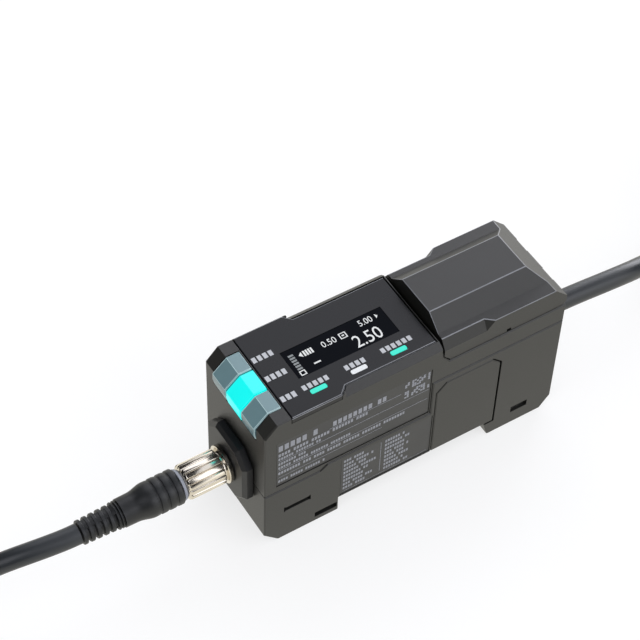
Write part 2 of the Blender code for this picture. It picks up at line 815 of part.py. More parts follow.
def make_display():
    panel = prism(panel_outline(0), "Z", PANEL_LOW, PANEL_TOP)
    soften(panel, 0.3, lambda middle, direction: middle.z > PANEL_TOP - 0.01)
    pane_low = WINDOW_PANE_CENTRE - WINDOW_PANE_WIDTH / 2
    pane_high = WINDOW_PANE_CENTRE + WINDOW_PANE_WIDTH / 2
    pane_end = WINDOW_PANE_START + WINDOW_PANE_LENGTH
    opening = box((WINDOW_PANE_START, pane_end), (pane_low, pane_high), (PANEL_LOW - 1, PANEL_TOP + 1))
    cut(panel, opening)
    for number, start in enumerate(BAR_STARTS, 1):
        across = (BAR_CENTRE - BAR_WIDTH / 2, BAR_CENTRE + BAR_WIDTH / 2)
        hole = prism(
            rounded((start, start + BAR_LENGTH), across, 0.4, 2), "Z", PANEL_LOW - 1, PANEL_TOP + 1
        )
        cut(panel, hole)
        fit = PANEL_FIT / 2
        light = prism(
            rounded(
                (start + fit, start + BAR_LENGTH - fit), (across[0] + fit, across[1] - fit), 0.4, 2
            ),
            "Z",
            PANEL_TOP - BAR_DEPTH,
            PANEL_TOP,
        )
        hand_over(light, f"light_bar_{number}", "pale" if number == 2 else "lit")
    hand_over(panel, "display_panel", "gloss")
    fit = PANEL_FIT / 2
    pane = box(
        (WINDOW_PANE_START + fit, pane_end - fit),
        (pane_low + fit, pane_high - fit),
        (PANEL_TOP - 0.1 - WINDOW_PANE_THICKNESS, PANEL_TOP - 0.1),
    )
    hand_over(pane, "display_window", "glass")
    middle = WINDOW_PANE_START + WINDOW_PANE_LENGTH / 2
    module = box(
        (middle - MODULE_LENGTH / 2, middle + MODULE_LENGTH / 2),
        (-MODULE_WIDTH / 2, MODULE_WIDTH / 2),
        (MODULE_TOP - MODULE_THICKNESS, MODULE_TOP),
    )
    legs = box(
        (middle - MODULE_LENGTH / 2 + 2, middle - MODULE_LENGTH / 2 + 6),
        (-MODULE_WIDTH / 2, MODULE_WIDTH / 2),
        (DISPLAY_BOARD_TOP + GAP, MODULE_TOP - MODULE_THICKNESS / 2),
    )
    rear_legs = box(
        (middle + MODULE_LENGTH / 2 - 6, middle + MODULE_LENGTH / 2 - 2),
        (-MODULE_WIDTH / 2, MODULE_WIDTH / 2),
        (DISPLAY_BOARD_TOP + GAP, MODULE_TOP - MODULE_THICKNESS / 2),
    )
    fuse(module, legs, rear_legs)
    hand_over(module, "display_module", "glass")


def make_lenses():
    half_gap = GAP / 2
    across = {
        "lens_near": (-LENS_OUTER_HALF, -LENS_SPLIT_HALF - half_gap),
        "lens_middle": (-LENS_SPLIT_HALF + half_gap, LENS_SPLIT_HALF - half_gap),
        "lens_far": (LENS_SPLIT_HALF + half_gap, LENS_OUTER_HALF),
    }
    for name, (low, high) in across.items():
        lens = prism(lens_profile(0), "Y", low, high)

        def rim(middle, direction):
            outside = middle.x < LENS_BACK - 0.1 and (middle.z > PANEL_TOP - 0.1 or middle.x < 3)
            return abs(direction.y) < 0.1 and outside

        soften(lens, LENS_EDGE, rim, 2)
        hand_over(lens, name, "lit" if name == "lens_middle" else "lens")


def cover_section(inset):
    """The key cover across the width: a flat top, a roof panel a side, a shelf, a skirt."""
    half = COVER_HALF_WIDTH - inset
    ridge = COVER_RIDGE_HALF - inset * 0.4
    flat = COVER_FLAT_HALF - inset * 0.4
    near = [
        (-half, COVER_PARTING - OVER * (inset > 0)),
        (-half, COVER_EDGE_HEIGHT - inset * 1.8),
        (-ridge, COVER_RIDGE_HEIGHT - inset),
        (-flat, COVER_TOP - inset),
    ]
    return near + [(-y, z) for y, z in reversed(near)]


def cover_side(inset):
    """The key cover from the side: an upright front, a level top, a 45 degree rear slope."""
    front = COVER_START + COVER_SETBACK + inset
    top = COVER_TOP - inset
    slope = inset * (math.sqrt(2) - 1)
    rear = COVER_REAR - inset
    bottom = COVER_PARTING - OVER * (inset > 0)
    hinge_side = [
        (
            HINGE_X + (HINGE_RADIUS - inset * 0.99) * math.cos(t),
            HINGE_HEIGHT + (HINGE_RADIUS - inset * 0.99) * math.sin(t),
        )
        for t in (math.radians(-k * 18) for k in range(6))
    ]
    if inset:
        hinge_side = [(rear, bottom)]
    return [
        (front + COVER_CHIN_LENGTH, bottom),
        (front, COVER_PARTING + COVER_CHIN_HEIGHT),
        (front, top),
        (COVER_REAR - (COVER_TOP - COVER_SLOPE_END) - slope, top),
        (rear, COVER_SLOPE_END - slope),
        *hinge_side,
    ]


def grip_cutter(side):
    """The finger notch: a steep panel along the front of one upper edge, run out on a ramp."""
    top_y = COVER_HALF_WIDTH - GRIP_INSET
    top_z = COVER_EDGE_HEIGHT + (COVER_RIDGE_HEIGHT - COVER_EDGE_HEIGHT) * GRIP_INSET / (
        COVER_HALF_WIDTH - COVER_RIDGE_HALF
    )
    low_z = COVER_EDGE_HEIGHT - GRIP_DROP
    section = [
        (top_y, top_z),
        (COVER_HALF_WIDTH, low_z),
        (COVER_HALF_WIDTH + OVER, low_z - OVER / 2),
        (COVER_HALF_WIDTH + OVER, top_z + OVER),
        (top_y, top_z + OVER),
    ]
    start = COVER_START - OVER
    end = COVER_START + GRIP_LENGTH
    bm = bmesh.new()
    front = [bm.verts.new((start, side * y, z)) for y, z in section]
    back = [
        bm.verts.new((end + GRIP_LEAN_ACROSS * (y - top_y) + GRIP_LEAN_UP * (z - top_z), side * y, z))
        for y, z in section
    ]
    bm.faces.new(front)
    bm.faces.new(back)
    for i in range(len(section)):
        j = (i + 1) % len(section)
        bm.faces.new((front[i], front[j], back[j], back[i]))
    return put("tool", bm)


def make_key_cover():
    cover = prism(cover_section(0), "X", COVER_START - OVER, COVER_REAR + OVER)
    keep_inside(cover, prism(cover_side(0), "Y", -HALF_WIDTH, HALF_WIDTH))
    room = prism(cover_section(COVER_WALL), "X", COVER_START - OVER, COVER_REAR + OVER)
    keep_inside(room, prism(cover_side(COVER_WALL), "Y", -HALF_WIDTH, HALF_WIDTH))
    cut(cover, grip_cutter(-1), grip_cutter(1), room)
    inner = COVER_HALF_WIDTH - COVER_WALL / 2
    fuse(cover, lug_barrels(HINGE_RADIUS, -inner, inner))
    back = (HINGE_X - HINGE_RADIUS - GAP, COVER_REAR + OVER)
    for side in (-1, 1):
        low, high = sorted((side * LUG_INNER, side * LUG_OUTER))
        gate = box(back, (low, high), (COVER_PARTING - OVER, HINGE_HEIGHT + HINGE_RADIUS + GAP))
        cut(cover, gate)
    bore = PIN_LENGTH / 2 + GAP
    cut(cover, lug_barrels(PIN_DIAMETER / 2 + PIN_PLAY, -bore, bore))
    notch_end = NOTCH_PLACE + NOTCH_WIDTH
    notch = rectangle(NOTCH_PLACE, notch_end, COVER_PARTING - OVER, COVER_PARTING + NOTCH_RISE)
    cut(cover, *side_cut(notch, HALF_WIDTH - COVER_HALF_WIDTH + NOTCH_DEPTH))
    hand_over(cover, "key_cover", "case")
    pin = lug_barrels(PIN_DIAMETER / 2, -PIN_LENGTH / 2, PIN_LENGTH / 2)
    hand_over(pin, "hinge_pin", "steel")


def key_places():
    """Where each key stands on the deck: a cross of four round an enter key."""
    return {
        "enter": (KEYS_CENTRE, 0.0),
        "up": (KEYS_CENTRE, KEY_PITCH_Y),
        "down": (KEYS_CENTRE, -KEY_PITCH_Y),
        "left": (KEYS_CENTRE - KEY_PITCH_X, 0.0),
        "right": (KEYS_CENTRE + KEY_PITCH_X, 0.0),
    }


def make_keys():
    for name, (x, y) in key_places().items():
        cap = prism(
            rounded(
                (x - KEY_LENGTH / 2, x + KEY_LENGTH / 2),
                (y - KEY_WIDTH / 2, y + KEY_WIDTH / 2),
                KEY_CORNER,
                2,
            ),
            "Z",
            KEY_FLANGE_LOW + KEY_FLANGE_THICKNESS / 2,
            DECK_TOP + KEY_RISE,
        )
        soften(cap, 0.3, lambda middle, direction: middle.z > DECK_TOP + KEY_RISE - 0.1)
        flange = box(
            (x - KEY_LENGTH / 2 - KEY_FLANGE, x + KEY_LENGTH / 2 + KEY_FLANGE),
            (y - KEY_WIDTH / 2 - KEY_FLANGE, y + KEY_WIDTH / 2 + KEY_FLANGE),
            (KEY_FLANGE_LOW, KEY_FLANGE_LOW + KEY_FLANGE_THICKNESS),
        )
        stem = box(
            (x - SWITCH_BUTTON / 2, x + SWITCH_BUTTON / 2),
            (y - SWITCH_BUTTON / 2, y + SWITCH_BUTTON / 2),
            (KEY_LOW, KEY_FLANGE_LOW + KEY_FLANGE_THICKNESS / 2),
        )
        fuse(cap, flange, stem)
        hand_over(cap, f"key_{name}", "key")
        half = SWITCH_SIZE / 2
        foot = DISPLAY_BOARD_TOP + 0.1
        body = box((x - half, x + half), (y - half, y + half), (foot, foot + SWITCH_HEIGHT - 0.1))
        button = prism(
            circle(x, y, SWITCH_BUTTON / 2, 12),
            "Z",
            foot + SWITCH_HEIGHT / 2,
            foot + SWITCH_HEIGHT - 0.1 + SWITCH_BUTTON_HEIGHT,
        )
        fuse(body, button)
        hand_over(body, f"switch_{name}", "steel")


def make_boards():
    half = INNER_HALF - BOARD_SIDE_GAP
    low = DISPLAY_BOARD_TOP - BOARD_THICKNESS
    display = box((BOARD_START, BOARD_END), (-half, half), (low, DISPLAY_BOARD_TOP))
    lens_pitch = LENS_SPLIT_HALF + LENS_OUTER_HALF
    lamps = [(BOARD_START + LAMP_PLACE, side * lens_pitch / 2) for side in (-1, 0, 1)]
    lamps += [(start + BAR_LENGTH / 2, BAR_CENTRE) for start in BAR_STARTS]
    for x, y in lamps:
        lamp = box(
            (x - LAMP_SIZE / 2, x + LAMP_SIZE / 2),
            (y - LAMP_SIZE / 2, y + LAMP_SIZE / 2),
            (DISPLAY_BOARD_TOP - BOARD_THICKNESS / 2, DISPLAY_BOARD_TOP + LAMP_RISE),
        )
        fuse(display, lamp)
    hand_over(display, "display_board", "board")
    top = MAIN_BOARD_HEIGHT + BOARD_THICKNESS
    main = box((MAIN_BOARD_START, BOARD_END), (-half, half), (MAIN_BOARD_HEIGHT, top))
    chip_end = CHIP_PLACE + CHIP_SIZE
    chip = box((CHIP_PLACE, chip_end), (-CHIP_SIZE / 2, CHIP_SIZE / 2), (top - 0.5, top + CHIP_RISE))
    part_start = BOARD_END - PART_PLACE
    part = box(
        (part_start, part_start + PART_SIZE), (-PART_SIZE / 2, PART_SIZE / 2), (top - 0.5, top + PART_RISE)
    )
    fuse(main, chip, part)
    hand_over(main, "main_board", "board")
    header = box(
        (HEADER_START, HEADER_START + HEADER_LENGTH),
        (-HEADER_WIDTH / 2, HEADER_WIDTH / 2),
        (top + GAP, low - GAP),
    )
    hand_over(header, "board_connector", "rubber")


def make_links():
    for side, name in ((-1, "near"), (1, "far")):
        low, high = sorted((side * (HALF_WIDTH - CASE_WALL), side * HALF_WIDTH))
        door = prism(door_outline(0), "Y", low, high)
        soften(door, CASE_EDGE, on_outline)
        rib_low, rib_high = sorted((side * (INNER_HALF - 1.2), side * (INNER_HALF + 0.4)))
        above = CHANNEL_DEPTH + DOOR_HEIGHT - 5
        rib = box((DOOR_START + 3, DOOR_START + DOOR_LENGTH - 3), (rib_low, rib_high), (above, above + 1.4))
        fuse(door, rib)
        hand_over(door, f"link_cover_{name}", "case")
        foot = MAIN_BOARD_HEIGHT + BOARD_THICKNESS + GAP
        low, high = sorted((side * (INNER_HALF - 5.6), side * (INNER_HALF - 0.6)))
        link = box((LINK_START, LINK_START + LINK_LENGTH), (low, high), (foot, foot + LINK_HEIGHT))
        mouth_low, mouth_high = sorted((side * (INNER_HALF - 0.6 - LINK_RECESS), side * INNER_HALF))
        mouth = box(
            (LINK_START + 1.2, LINK_START + LINK_LENGTH - 1.2),
            (mouth_low, mouth_high),
            (foot + 1.4, foot + LINK_HEIGHT - 1.4),
        )
        cut(link, mouth)
        hand_over(link, f"link_connector_{name}", "rubber")


def make_slider():
    nose = [
        (CHANNEL_START - 3, SLIDER_LOW),
        (SLIDER_NOSE - 1.4, SLIDER_LOW),
        (SLIDER_NOSE, SLIDER_LOW + SLIDER_THICKNESS * 0.6),
        (SLIDER_NOSE, SLIDER_TOP),
        (CHANNEL_START - 3, SLIDER_TOP),
    ]
    half = SLIDER_WIDTH / 2
    plate_start = SLIDER_START + SLIDER_TRAVEL + 2
    slider = box((plate_start, CHANNEL_START - 1), (-half, half), (SLIDER_LOW, SLIDER_TOP))
    fuse(slider, prism(nose, "Y", -half, half))
    tab = box(
        (SLIDER_START, SLIDER_START + SLIDER_TRAVEL + 4),
        (-SLIDER_TAB / 2, SLIDER_TAB / 2),
        (SLIDER_LOW, SLIDER_TOP),
    )
    fuse(slider, tab)
    reach = HALF_WIDTH - SLOT_DEPTH
    lug_start = WINDOW_START + SLIDER_TRAVEL + GAP
    lug = box((lug_start, lug_start + SLIDER_LUG), (-reach, reach), (SLIDER_LOW + GAP, SLIDER_TOP - GAP))
    fuse(slider, lug)
    slot_half = SPRING_DIAMETER / 2 + GAP
    slot = box(
        (SPRING_START - SPRING_STOP - GAP - 0.1, SPRING_START + SPRING_LENGTH + GAP),
        (-slot_half, slot_half),
        (SLIDER_LOW - 1, SLIDER_TOP + 1),
    )
    pry = box((SLIDER_START + 1.2, SLIDER_START + 2.2), (-1.8, 1.8), (SLIDER_LOW - 1, SLIDER_TOP + 1))
    cut(slider, slot, pry)
    hand_over(slider, "rail_slider", "case")
    hand_over(coil_spring(), "slider_spring", "steel")


def coil_spring():
    """A round wire wound along X between the case's stop and the slider's slot end."""
    radius = (SPRING_DIAMETER - SPRING_WIRE) / 2
    centre_z = SLIDER_LOW + SPRING_DIAMETER / 2
    steps = SPRING_TURNS * 10
    start = SPRING_START + SPRING_WIRE / 2
    run = SPRING_LENGTH - SPRING_WIRE
    bm = bmesh.new()
    rings = []
    for k in range(steps + 1):
        turn = 2 * math.pi * SPRING_TURNS * k / steps
        out = Vector((0, math.cos(turn), math.sin(turn)))
        centre = Vector((start + run * k / steps, 0, centre_z)) + out * radius
        ring = []
        for s in range(6):
            tilt = 2 * math.pi * s / 6
            offset = out * math.cos(tilt) + Vector((1, 0, 0)) * math.sin(tilt)
            ring.append(bm.verts.new(centre + offset * SPRING_WIRE / 2))
        rings.append(ring)
    for a, b in zip(rings, rings[1:]):
        for s in range(6):
            t = (s + 1) % 6
            bm.faces.new((a[s], a[t], b[t], b[s]))
    bm.faces.new(rings[0])
    bm.faces.new(rings[-1])
    return put("tool", bm)


def octagon(inset):
    wide, high = FLANGE_HALF_WIDTH - inset, FLANGE_HALF_HEIGHT - inset
    corner = FLANGE_CORNER - inset * 0.4
    quarter = [(wide, high - corner), (wide - corner, high)]
    right = quarter + [(-y, z) for y, z in reversed(quarter)]
    points = right + [(y, -z) for y, z in reversed(right)]
    return [(y, z + AXIS_HEIGHT + 0.4) for y, z in points]


def make_front_connector():
    flange = prism(octagon(0), "X", -FLANGE_THICKNESS - GAP, -GAP)
    front = -FLANGE_THICKNESS - GAP
    soften(flange, FLANGE_BEVEL, lambda middle, direction: abs(middle.x - front) < 0.01)
    axis = (0, AXIS_HEIGHT)
    neck = prism(circle(*axis, NECK_RADIUS, 32), "X", -FLANGE_THICKNESS, CASE_WALL + GAP + 0.5)
    back = CASE_WALL + GAP
    collar = prism(circle(*axis, COLLAR_RADIUS, 32), "X", back, back + COLLAR_THICKNESS)
    fuse(flange, neck, collar)
    cut(flange, prism(circle(*axis, SHELL_RADIUS + 0.1, 32), "X", -OVER * 2, SHELL_BACK + OVER))
    hand_over(flange, "connector_flange", "rubber")
    rim = 0.7
    shell = turned(
        [
            (-SHELL_FRONT, SHELL_BORE),
            (-SHELL_FRONT, SHELL_RADIUS - 0.3),
            (-SHELL_FRONT + 0.3, SHELL_RADIUS),
            (back + COLLAR_THICKNESS + GAP, SHELL_RADIUS),
            (back + COLLAR_THICKNESS + GAP, SHELL_RADIUS + rim),
            (SHELL_BACK, SHELL_RADIUS + rim),
            (SHELL_BACK, SHELL_BORE),
        ],
        "X",
        axis,
        32,
    )
    hand_over(shell, "receptacle_shell", "nickel")
    insert = prism(circle(*axis, SHELL_BORE - 0.1, 24), "X", -INSERT_FRONT, SHELL_BACK - 1)
    for y, z in circle(*axis, CONTACT_CIRCLE, CONTACTS):
        tip = -INSERT_FRONT - CONTACT_REACH
        contact = prism(circle(y, z, CONTACT_RADIUS, 10), "X", tip, SHELL_BACK + 3)
        fuse(insert, contact)
    hand_over(insert, "contact_insert", "gold")


def make_nut():
    """A ring-ended nut with flutes along it, threaded at the front, bored through behind."""
    ring_end = -NUT_START - NUT_RING
    groove_end = ring_end - NUT_RING_GROOVE
    sides = NUT_FLUTES * 3
    # Along, radius and how deep the flutes are there
    profile = [
        (-NUT_END, NUT_RADIUS - 0.9, 0),
        (-NUT_END + 0.5, NUT_RADIUS - 0.4, NUT_FLUTE_DEPTH / 3),
        (-NUT_END + 0.9, NUT_RADIUS, NUT_FLUTE_DEPTH),
        (groove_end, NUT_RADIUS, NUT_FLUTE_DEPTH),
        (groove_end, NUT_RADIUS - 0.7, 0),
        (ring_end, NUT_RADIUS - 0.7, 0),
        (ring_end, NUT_RADIUS + 0.05, 0),
        (-NUT_START - 0.3, NUT_RADIUS + 0.05, 0),
        (-NUT_START, NUT_RADIUS - 0.25, 0),
        (-NUT_START, NUT_BORE, 0),
        (-NUT_SHOULDER, NUT_BORE, 0),
        (-NUT_SHOULDER, NUT_NECK_BORE, 0),
        (-NUT_END, NUT_NECK_BORE, 0),
    ]
    bm = bmesh.new()
    rings = []
    for along, radius, depth in profile:
        ring = []
        for k in range(sides):
            turn = 2 * math.pi * k / sides
            reach = radius - (depth if k % 3 == 0 else 0)
            place = (along, reach * math.cos(turn), AXIS_HEIGHT + reach * math.sin(turn))
            ring.append(bm.verts.new(place))
        rings.append(ring)
    for a, b in zip(rings, rings[1:] + rings[:1]):
        for i in range(sides):
            j = (i + 1) % sides
            bm.faces.new((a[i], a[j], b[j], b[i]))
    return put("tool", bm)


def make_plug():
    axis = (0, AXIS_HEIGHT)
    nut = make_nut()
    hand_over(nut, "coupling_nut", "nickel")
    seal = turned(
        [
            (SEAL_START, PLUG_NECK + 0.1),
            (SEAL_START, SEAL_RADIUS),
            (SEAL_START + SEAL_LENGTH, SEAL_RADIUS - 0.2),
            (SEAL_START + SEAL_LENGTH, PLUG_NECK + 0.1),
        ],
        "X",
        axis,
        32,
    )
    hand_over(seal, "seal_ring", "grey")
    insert_front = -INSERT_FRONT - GAP
    insert_end = -NUT_SHOULDER + 0.4
    insert = prism(circle(*axis, SHELL_BORE - 0.25, 24), "X", insert_end, insert_front)
    for y, z in circle(*axis, CONTACT_CIRCLE, CONTACTS):
        socket = prism(
            circle(y, z, CONTACT_RADIUS + CONTACT_PLAY, 10),
            "X",
            -INSERT_FRONT - CONTACT_REACH - 1,
            OVER,
        )
        cut(insert, socket)
    hand_over(insert, "plug_insert", "rubber")
    hand_over(plug_body(), "plug_body", "rubber")


def plug_body():
    """The overmoulded plug: neck, ribs, tapering barrel, two rings and a slotted strain relief."""
    profile = [
        (-NUT_SHOULDER + GAP - 0.2, 0),
        (-NUT_SHOULDER + GAP - 0.2, PLUG_NECK - 0.1),
        (PLUG_START, PLUG_NECK - 0.1),
        (PLUG_START, PLUG_RIB_RADIUS - 0.5),
    ]
    for rib in range(PLUG_RIBS):
        near = PLUG_START - rib * PLUG_RIB_PITCH
        far = near - PLUG_RIB_PITCH + PLUG_RIB_GROOVE
        profile += [
            (near - 0.3, PLUG_RIB_RADIUS),
            (far + 0.3, PLUG_RIB_RADIUS),
            (far, PLUG_RIB_RADIUS - 0.35),
            (near - PLUG_RIB_PITCH, PLUG_RIB_RADIUS - 0.35),
        ]
    steps = 6
    for k in range(steps + 1):
        share = k / steps
        ease = 1 - math.cos(share * math.pi / 2)
        radius = PLUG_RIB_RADIUS - 0.05 - (PLUG_RIB_RADIUS - PLUG_BARREL_RADIUS) * ease
        profile.append((PLUG_RIB_END - PLUG_BARREL_LENGTH * share, radius))
    ring = PLUG_RING_LENGTH / 4
    for k in range(2):
        at = PLUG_BARREL_END - 2 * k * ring
        profile += [
            (at - ring * 0.2, RELIEF_RADIUS - 0.4),
            (at - ring, RELIEF_RADIUS - 0.4),
            (at - ring * 1.2, RELIEF_RADIUS + 0.25),
            (at - ring * 1.9, RELIEF_RADIUS + 0.25),
        ]
    profile += [
        (RELIEF_START, RELIEF_RADIUS),
        (RELIEF_END, RELIEF_END_RADIUS),
        (RELIEF_END, 0),
    ]
    body = turned(profile, "X", (0, AXIS_HEIGHT), 28)
    row = RELIEF_LENGTH / RELIEF_ROWS
    for k in range(RELIEF_ROWS):
        middle = RELIEF_START - row * (k + 0.45)
        along = (middle - RELIEF_SLOT / 2, middle + RELIEF_SLOT / 2)
        for side in (-1, 1):
            near, far = sorted((side * RELIEF_CORE, side * (RELIEF_RADIUS + OVER)))
            if k % 2:
                slot = box(along, (near, far), (AXIS_HEIGHT - 2.7, AXIS_HEIGHT + 2.7))
            else:
                slot = box(along, (-2.7, 2.7), (AXIS_HEIGHT + near, AXIS_HEIGHT + far))
            cut(body, slot)
    return body


def make_bush():
    axis = (0, AXIS_HEIGHT)
    inside = BODY_LENGTH - CASE_WALL - GAP
    bush = turned(
        [
            (inside - BUSH_RIM_THICKNESS, 0),
            (inside - BUSH_RIM_THICKNESS, BUSH_RIM),
            (inside, BUSH_RIM),
            (inside, BUSH_NECK),
            (BODY_LENGTH + GAP, BUSH_NECK),
            (BODY_LENGTH + GAP, BUSH_RADIUS),
            (BUSH_END, BUSH_END_RADIUS),
            (BUSH_END, 0),
        ],
        "X",
        axis,
        28,
    )
    hand_over(bush, "cable_bush", "rubber")


def smooth_route(points, spacing):
    """Points at an even spacing on a smooth curve through the route's own points."""
    knots = [Vector(p) for p in points]
    padded = [2 * knots[0] - knots[1], *knots, 2 * knots[-1] - knots[-2]]
    fine = []
    for a, b, c, d in zip(padded, padded[1:], padded[2:], padded[3:]):
        leave, arrive = b + (c - a) / 6, c - (d - b) / 6
        fine += geometry.interpolate_bezier(b, leave, arrive, c, 13)[:-1]
    fine.append(knots[-1])
    lengths = [0.0]
    for a, b in zip(fine, fine[1:]):
        lengths.append(lengths[-1] + (b - a).length)
    count = max(2, round(lengths[-1] / spacing))
    placed = []
    for k in range(count + 1):
        wanted = lengths[-1] * k / count
        i = max(i for i, at in enumerate(lengths) if at <= wanted + 1e-9)
        i = min(i, len(fine) - 2)
        share = (wanted - lengths[i]) / (lengths[i + 1] - lengths[i])
        placed.append(fine[i].lerp(fine[i + 1], share))
    return placed


def make_cable(name, route, diameter):
    curve = bpy.data.curves.new(name, "CURVE")
    curve.dimensions = "3D"
    curve.bevel_depth = diameter / 2 * MM
    curve.bevel_resolution = CABLE_SIDES
    curve.use_fill_caps = True
    spline = curve.splines.new("POLY")
    placed = smooth_route(route, diameter * 1.2)
    spline.points.add(len(placed) - 1)
    for point, place in zip(spline.points, placed):
        point.co = (*(place * MM), 1.0)
    cable = bpy.data.objects.new(name, curve)
    curve.materials.append(finish("jacket"))
    bpy.context.collection.objects.link(cable)
    cable.parent = bpy.data.objects["unit"]


def stadium(start, length, width):
    """A hank's outline from above, with round ends."""
    radius = width / 2
    centre = HANK_SIDE - radius
    points = []
    for middle, first in ((start + length - radius, -90), (start + radius, 90)):
        for k in range(9):
            turn = math.radians(first + 180 * k / 8)
            points.append((middle + radius * math.cos(turn), centre + radius * math.sin(turn)))
    return points


def make_hank(name, start, length, width, height):
    hank = prism(stadium(start, length, width), "Z", HANK_FOOT, height)
    middle = start + length / 2
    near = HANK_SIDE - width
    across = (near - TIE_THICKNESS - GAP, HANK_SIDE + TIE_THICKNESS + GAP)
    along = (middle - TIE_WIDTH / 2, middle + TIE_WIDTH / 2)
    band = box(along, across, (HANK_FOOT, height + TIE_THICKNESS + GAP))
    inner = box(
        (middle - TIE_WIDTH, middle + TIE_WIDTH),
        (near - GAP, HANK_SIDE + GAP),
        (HANK_FOOT - OVER, height + GAP),
    )
    hand_over(hank, f"{name}_hank", "jacket")
    hand_over(cut(band, inner), f"{name}_tie", "rubber")


def make_far_ends():
    """The front lead's connector and the rear cable's bare tails, each lying on its own hank."""
    beside = HANK_SIDE + GAP + TIE_THICKNESS - SOCKET_RADIUS
    axis = (beside, FRONT_HANK_HEIGHT + GAP + SOCKET_RADIUS)
    start = FRONT_HANK_END - SOCKET_START
    end = start - SOCKET_LENGTH
    body = turned(
        [
            (start, 0),
            (start, SOCKET_TAPER_RADIUS),
            (start - SOCKET_LENGTH * 0.4, SOCKET_RADIUS - 0.8),
            (start - SOCKET_LENGTH * 0.5, SOCKET_RADIUS),
            (end, SOCKET_RADIUS),
            (end, 0),
        ],
        "X",
        axis,
        24,
    )
    hand_over(body, "head_socket", "rubber")
    mouth = end - SLEEVE_LENGTH
    sleeve = turned(
        [
            (end - 0.1, 0),
            (end - 0.1, SLEEVE_RADIUS),
            (mouth + 0.3, SLEEVE_RADIUS),
            (mouth, SLEEVE_RADIUS - 0.3),
            (mouth, SLEEVE_BORE),
            (mouth + SLEEVE_DEPTH, SLEEVE_BORE),
            (mouth + SLEEVE_DEPTH, 0),
        ],
        "X",
        axis,
        24,
    )
    hand_over(sleeve, "head_socket_sleeve", "nickel")
    tail_x = REAR_HANK_START + TAIL_START
    radius = REAR_CABLE / 2
    tail_axis = (HANK_SIDE - radius, REAR_HANK_HEIGHT + GAP + radius)
    tails = turned(
        [
            (tail_x, 0),
            (tail_x, radius),
            (tail_x + JACKET_END, radius),
            (tail_x + JACKET_END, radius - TAIL_INSET),
            (tail_x + JACKET_END + TAIL_LENGTH, radius - TAIL_INSET),
            (tail_x + JACKET_END + TAIL_LENGTH, 0),
        ],
        "X",
        tail_axis,
        14,
    )
    hand_over(tails, "wire_tails", "pale")


def make_unit():
    clear_scene()
    unit = bpy.data.objects.new("unit", None)
    bpy.context.collection.objects.link(unit)
    unit.location = (FRAME_SHIFT * MM, 0, 0)
    make_base_case()
    make_upper_case()
    make_display()
    make_lenses()
    make_key_cover()
    make_keys()
    make_boards()
    make_links()
    make_slider()
    make_front_connector()
    make_plug()
    make_bush()
    make_cable("front_cable", FRONT_ROUTE, FRONT_CABLE)
    make_cable("rear_cable", REAR_ROUTE, REAR_CABLE)
    front_start = FRONT_HANK_END - FRONT_HANK_LENGTH
    make_hank("front", front_start, FRONT_HANK_LENGTH, FRONT_HANK_WIDTH, FRONT_HANK_HEIGHT)
    make_hank("rear", REAR_HANK_START, REAR_HANK_LENGTH, REAR_HANK_WIDTH, REAR_HANK_HEIGHT)
    make_far_ends()


make_unit()
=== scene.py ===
# The display and evaluation unit of a laser displacement sensor, dressed for a picture.
# The script follows the unit as it is put together: the camera and the floor it stands on,
# the two cables, the plug, the moulded case, the lenses, the display, the key cover with the
# keys under it, the rail slider, and last what sits inside.
import math

import bmesh
import bpy
from mathutils import Matrix, Vector, geometry


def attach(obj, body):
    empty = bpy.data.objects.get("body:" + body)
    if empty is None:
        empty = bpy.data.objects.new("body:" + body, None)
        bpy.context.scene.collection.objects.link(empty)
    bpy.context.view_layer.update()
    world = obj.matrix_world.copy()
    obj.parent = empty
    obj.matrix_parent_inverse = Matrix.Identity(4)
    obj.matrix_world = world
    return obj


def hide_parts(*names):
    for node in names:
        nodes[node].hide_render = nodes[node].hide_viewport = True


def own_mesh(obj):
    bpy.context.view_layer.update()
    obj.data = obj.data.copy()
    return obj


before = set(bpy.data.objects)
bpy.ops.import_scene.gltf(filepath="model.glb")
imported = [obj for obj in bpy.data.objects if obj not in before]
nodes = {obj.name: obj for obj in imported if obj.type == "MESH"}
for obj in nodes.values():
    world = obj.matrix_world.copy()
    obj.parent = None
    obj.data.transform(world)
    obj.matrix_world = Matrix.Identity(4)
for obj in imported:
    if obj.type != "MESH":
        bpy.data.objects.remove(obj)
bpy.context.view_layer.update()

# The unit's sizes are in millimetres from its front face, its middle and the soles of its
# feet. The model's own frame has its zero under the middle of the rigid unit instead.
MM = 0.001
SHIFT = -46.2


def at(x, y, z):
    """A place on the unit, in millimetres, as a point of the model in metres."""
    return Vector(((x + SHIFT) * MM, y * MM, z * MM))


# The camera stands in front and to the left, looking down at about fifty degrees through a
# long lens, so the slim unit runs from the lower left to the upper right of a square picture.
CAMERA_PLACE = (-155.507, -273.466, 461.750)
LOOKS_ALONG = Vector((0.350505, 0.530751, -0.771654))
PICTURE_RIGHT = Vector((0.849459, -0.527141, 0.023273))
LENS_LENGTH = 115.0
SENSOR_WIDTH = 36.0


def put(name, data):
    """An object of that name which holds the data, in the scene."""
    made = bpy.data.objects.new(name, data)
    bpy.context.scene.collection.objects.link(made)
    return made


camera = put("camera", bpy.data.cameras.new("camera"))
bpy.context.scene.camera = camera
picture_up = PICTURE_RIGHT.cross(LOOKS_ALONG)
turn = Matrix((PICTURE_RIGHT, picture_up, -LOOKS_ALONG)).transposed().to_4x4()
turn.translation = at(*CAMERA_PLACE)
camera.matrix_world = turn
camera.data.lens = LENS_LENGTH
camera.data.sensor_width = SENSOR_WIDTH
camera.data.clip_start = 0.02


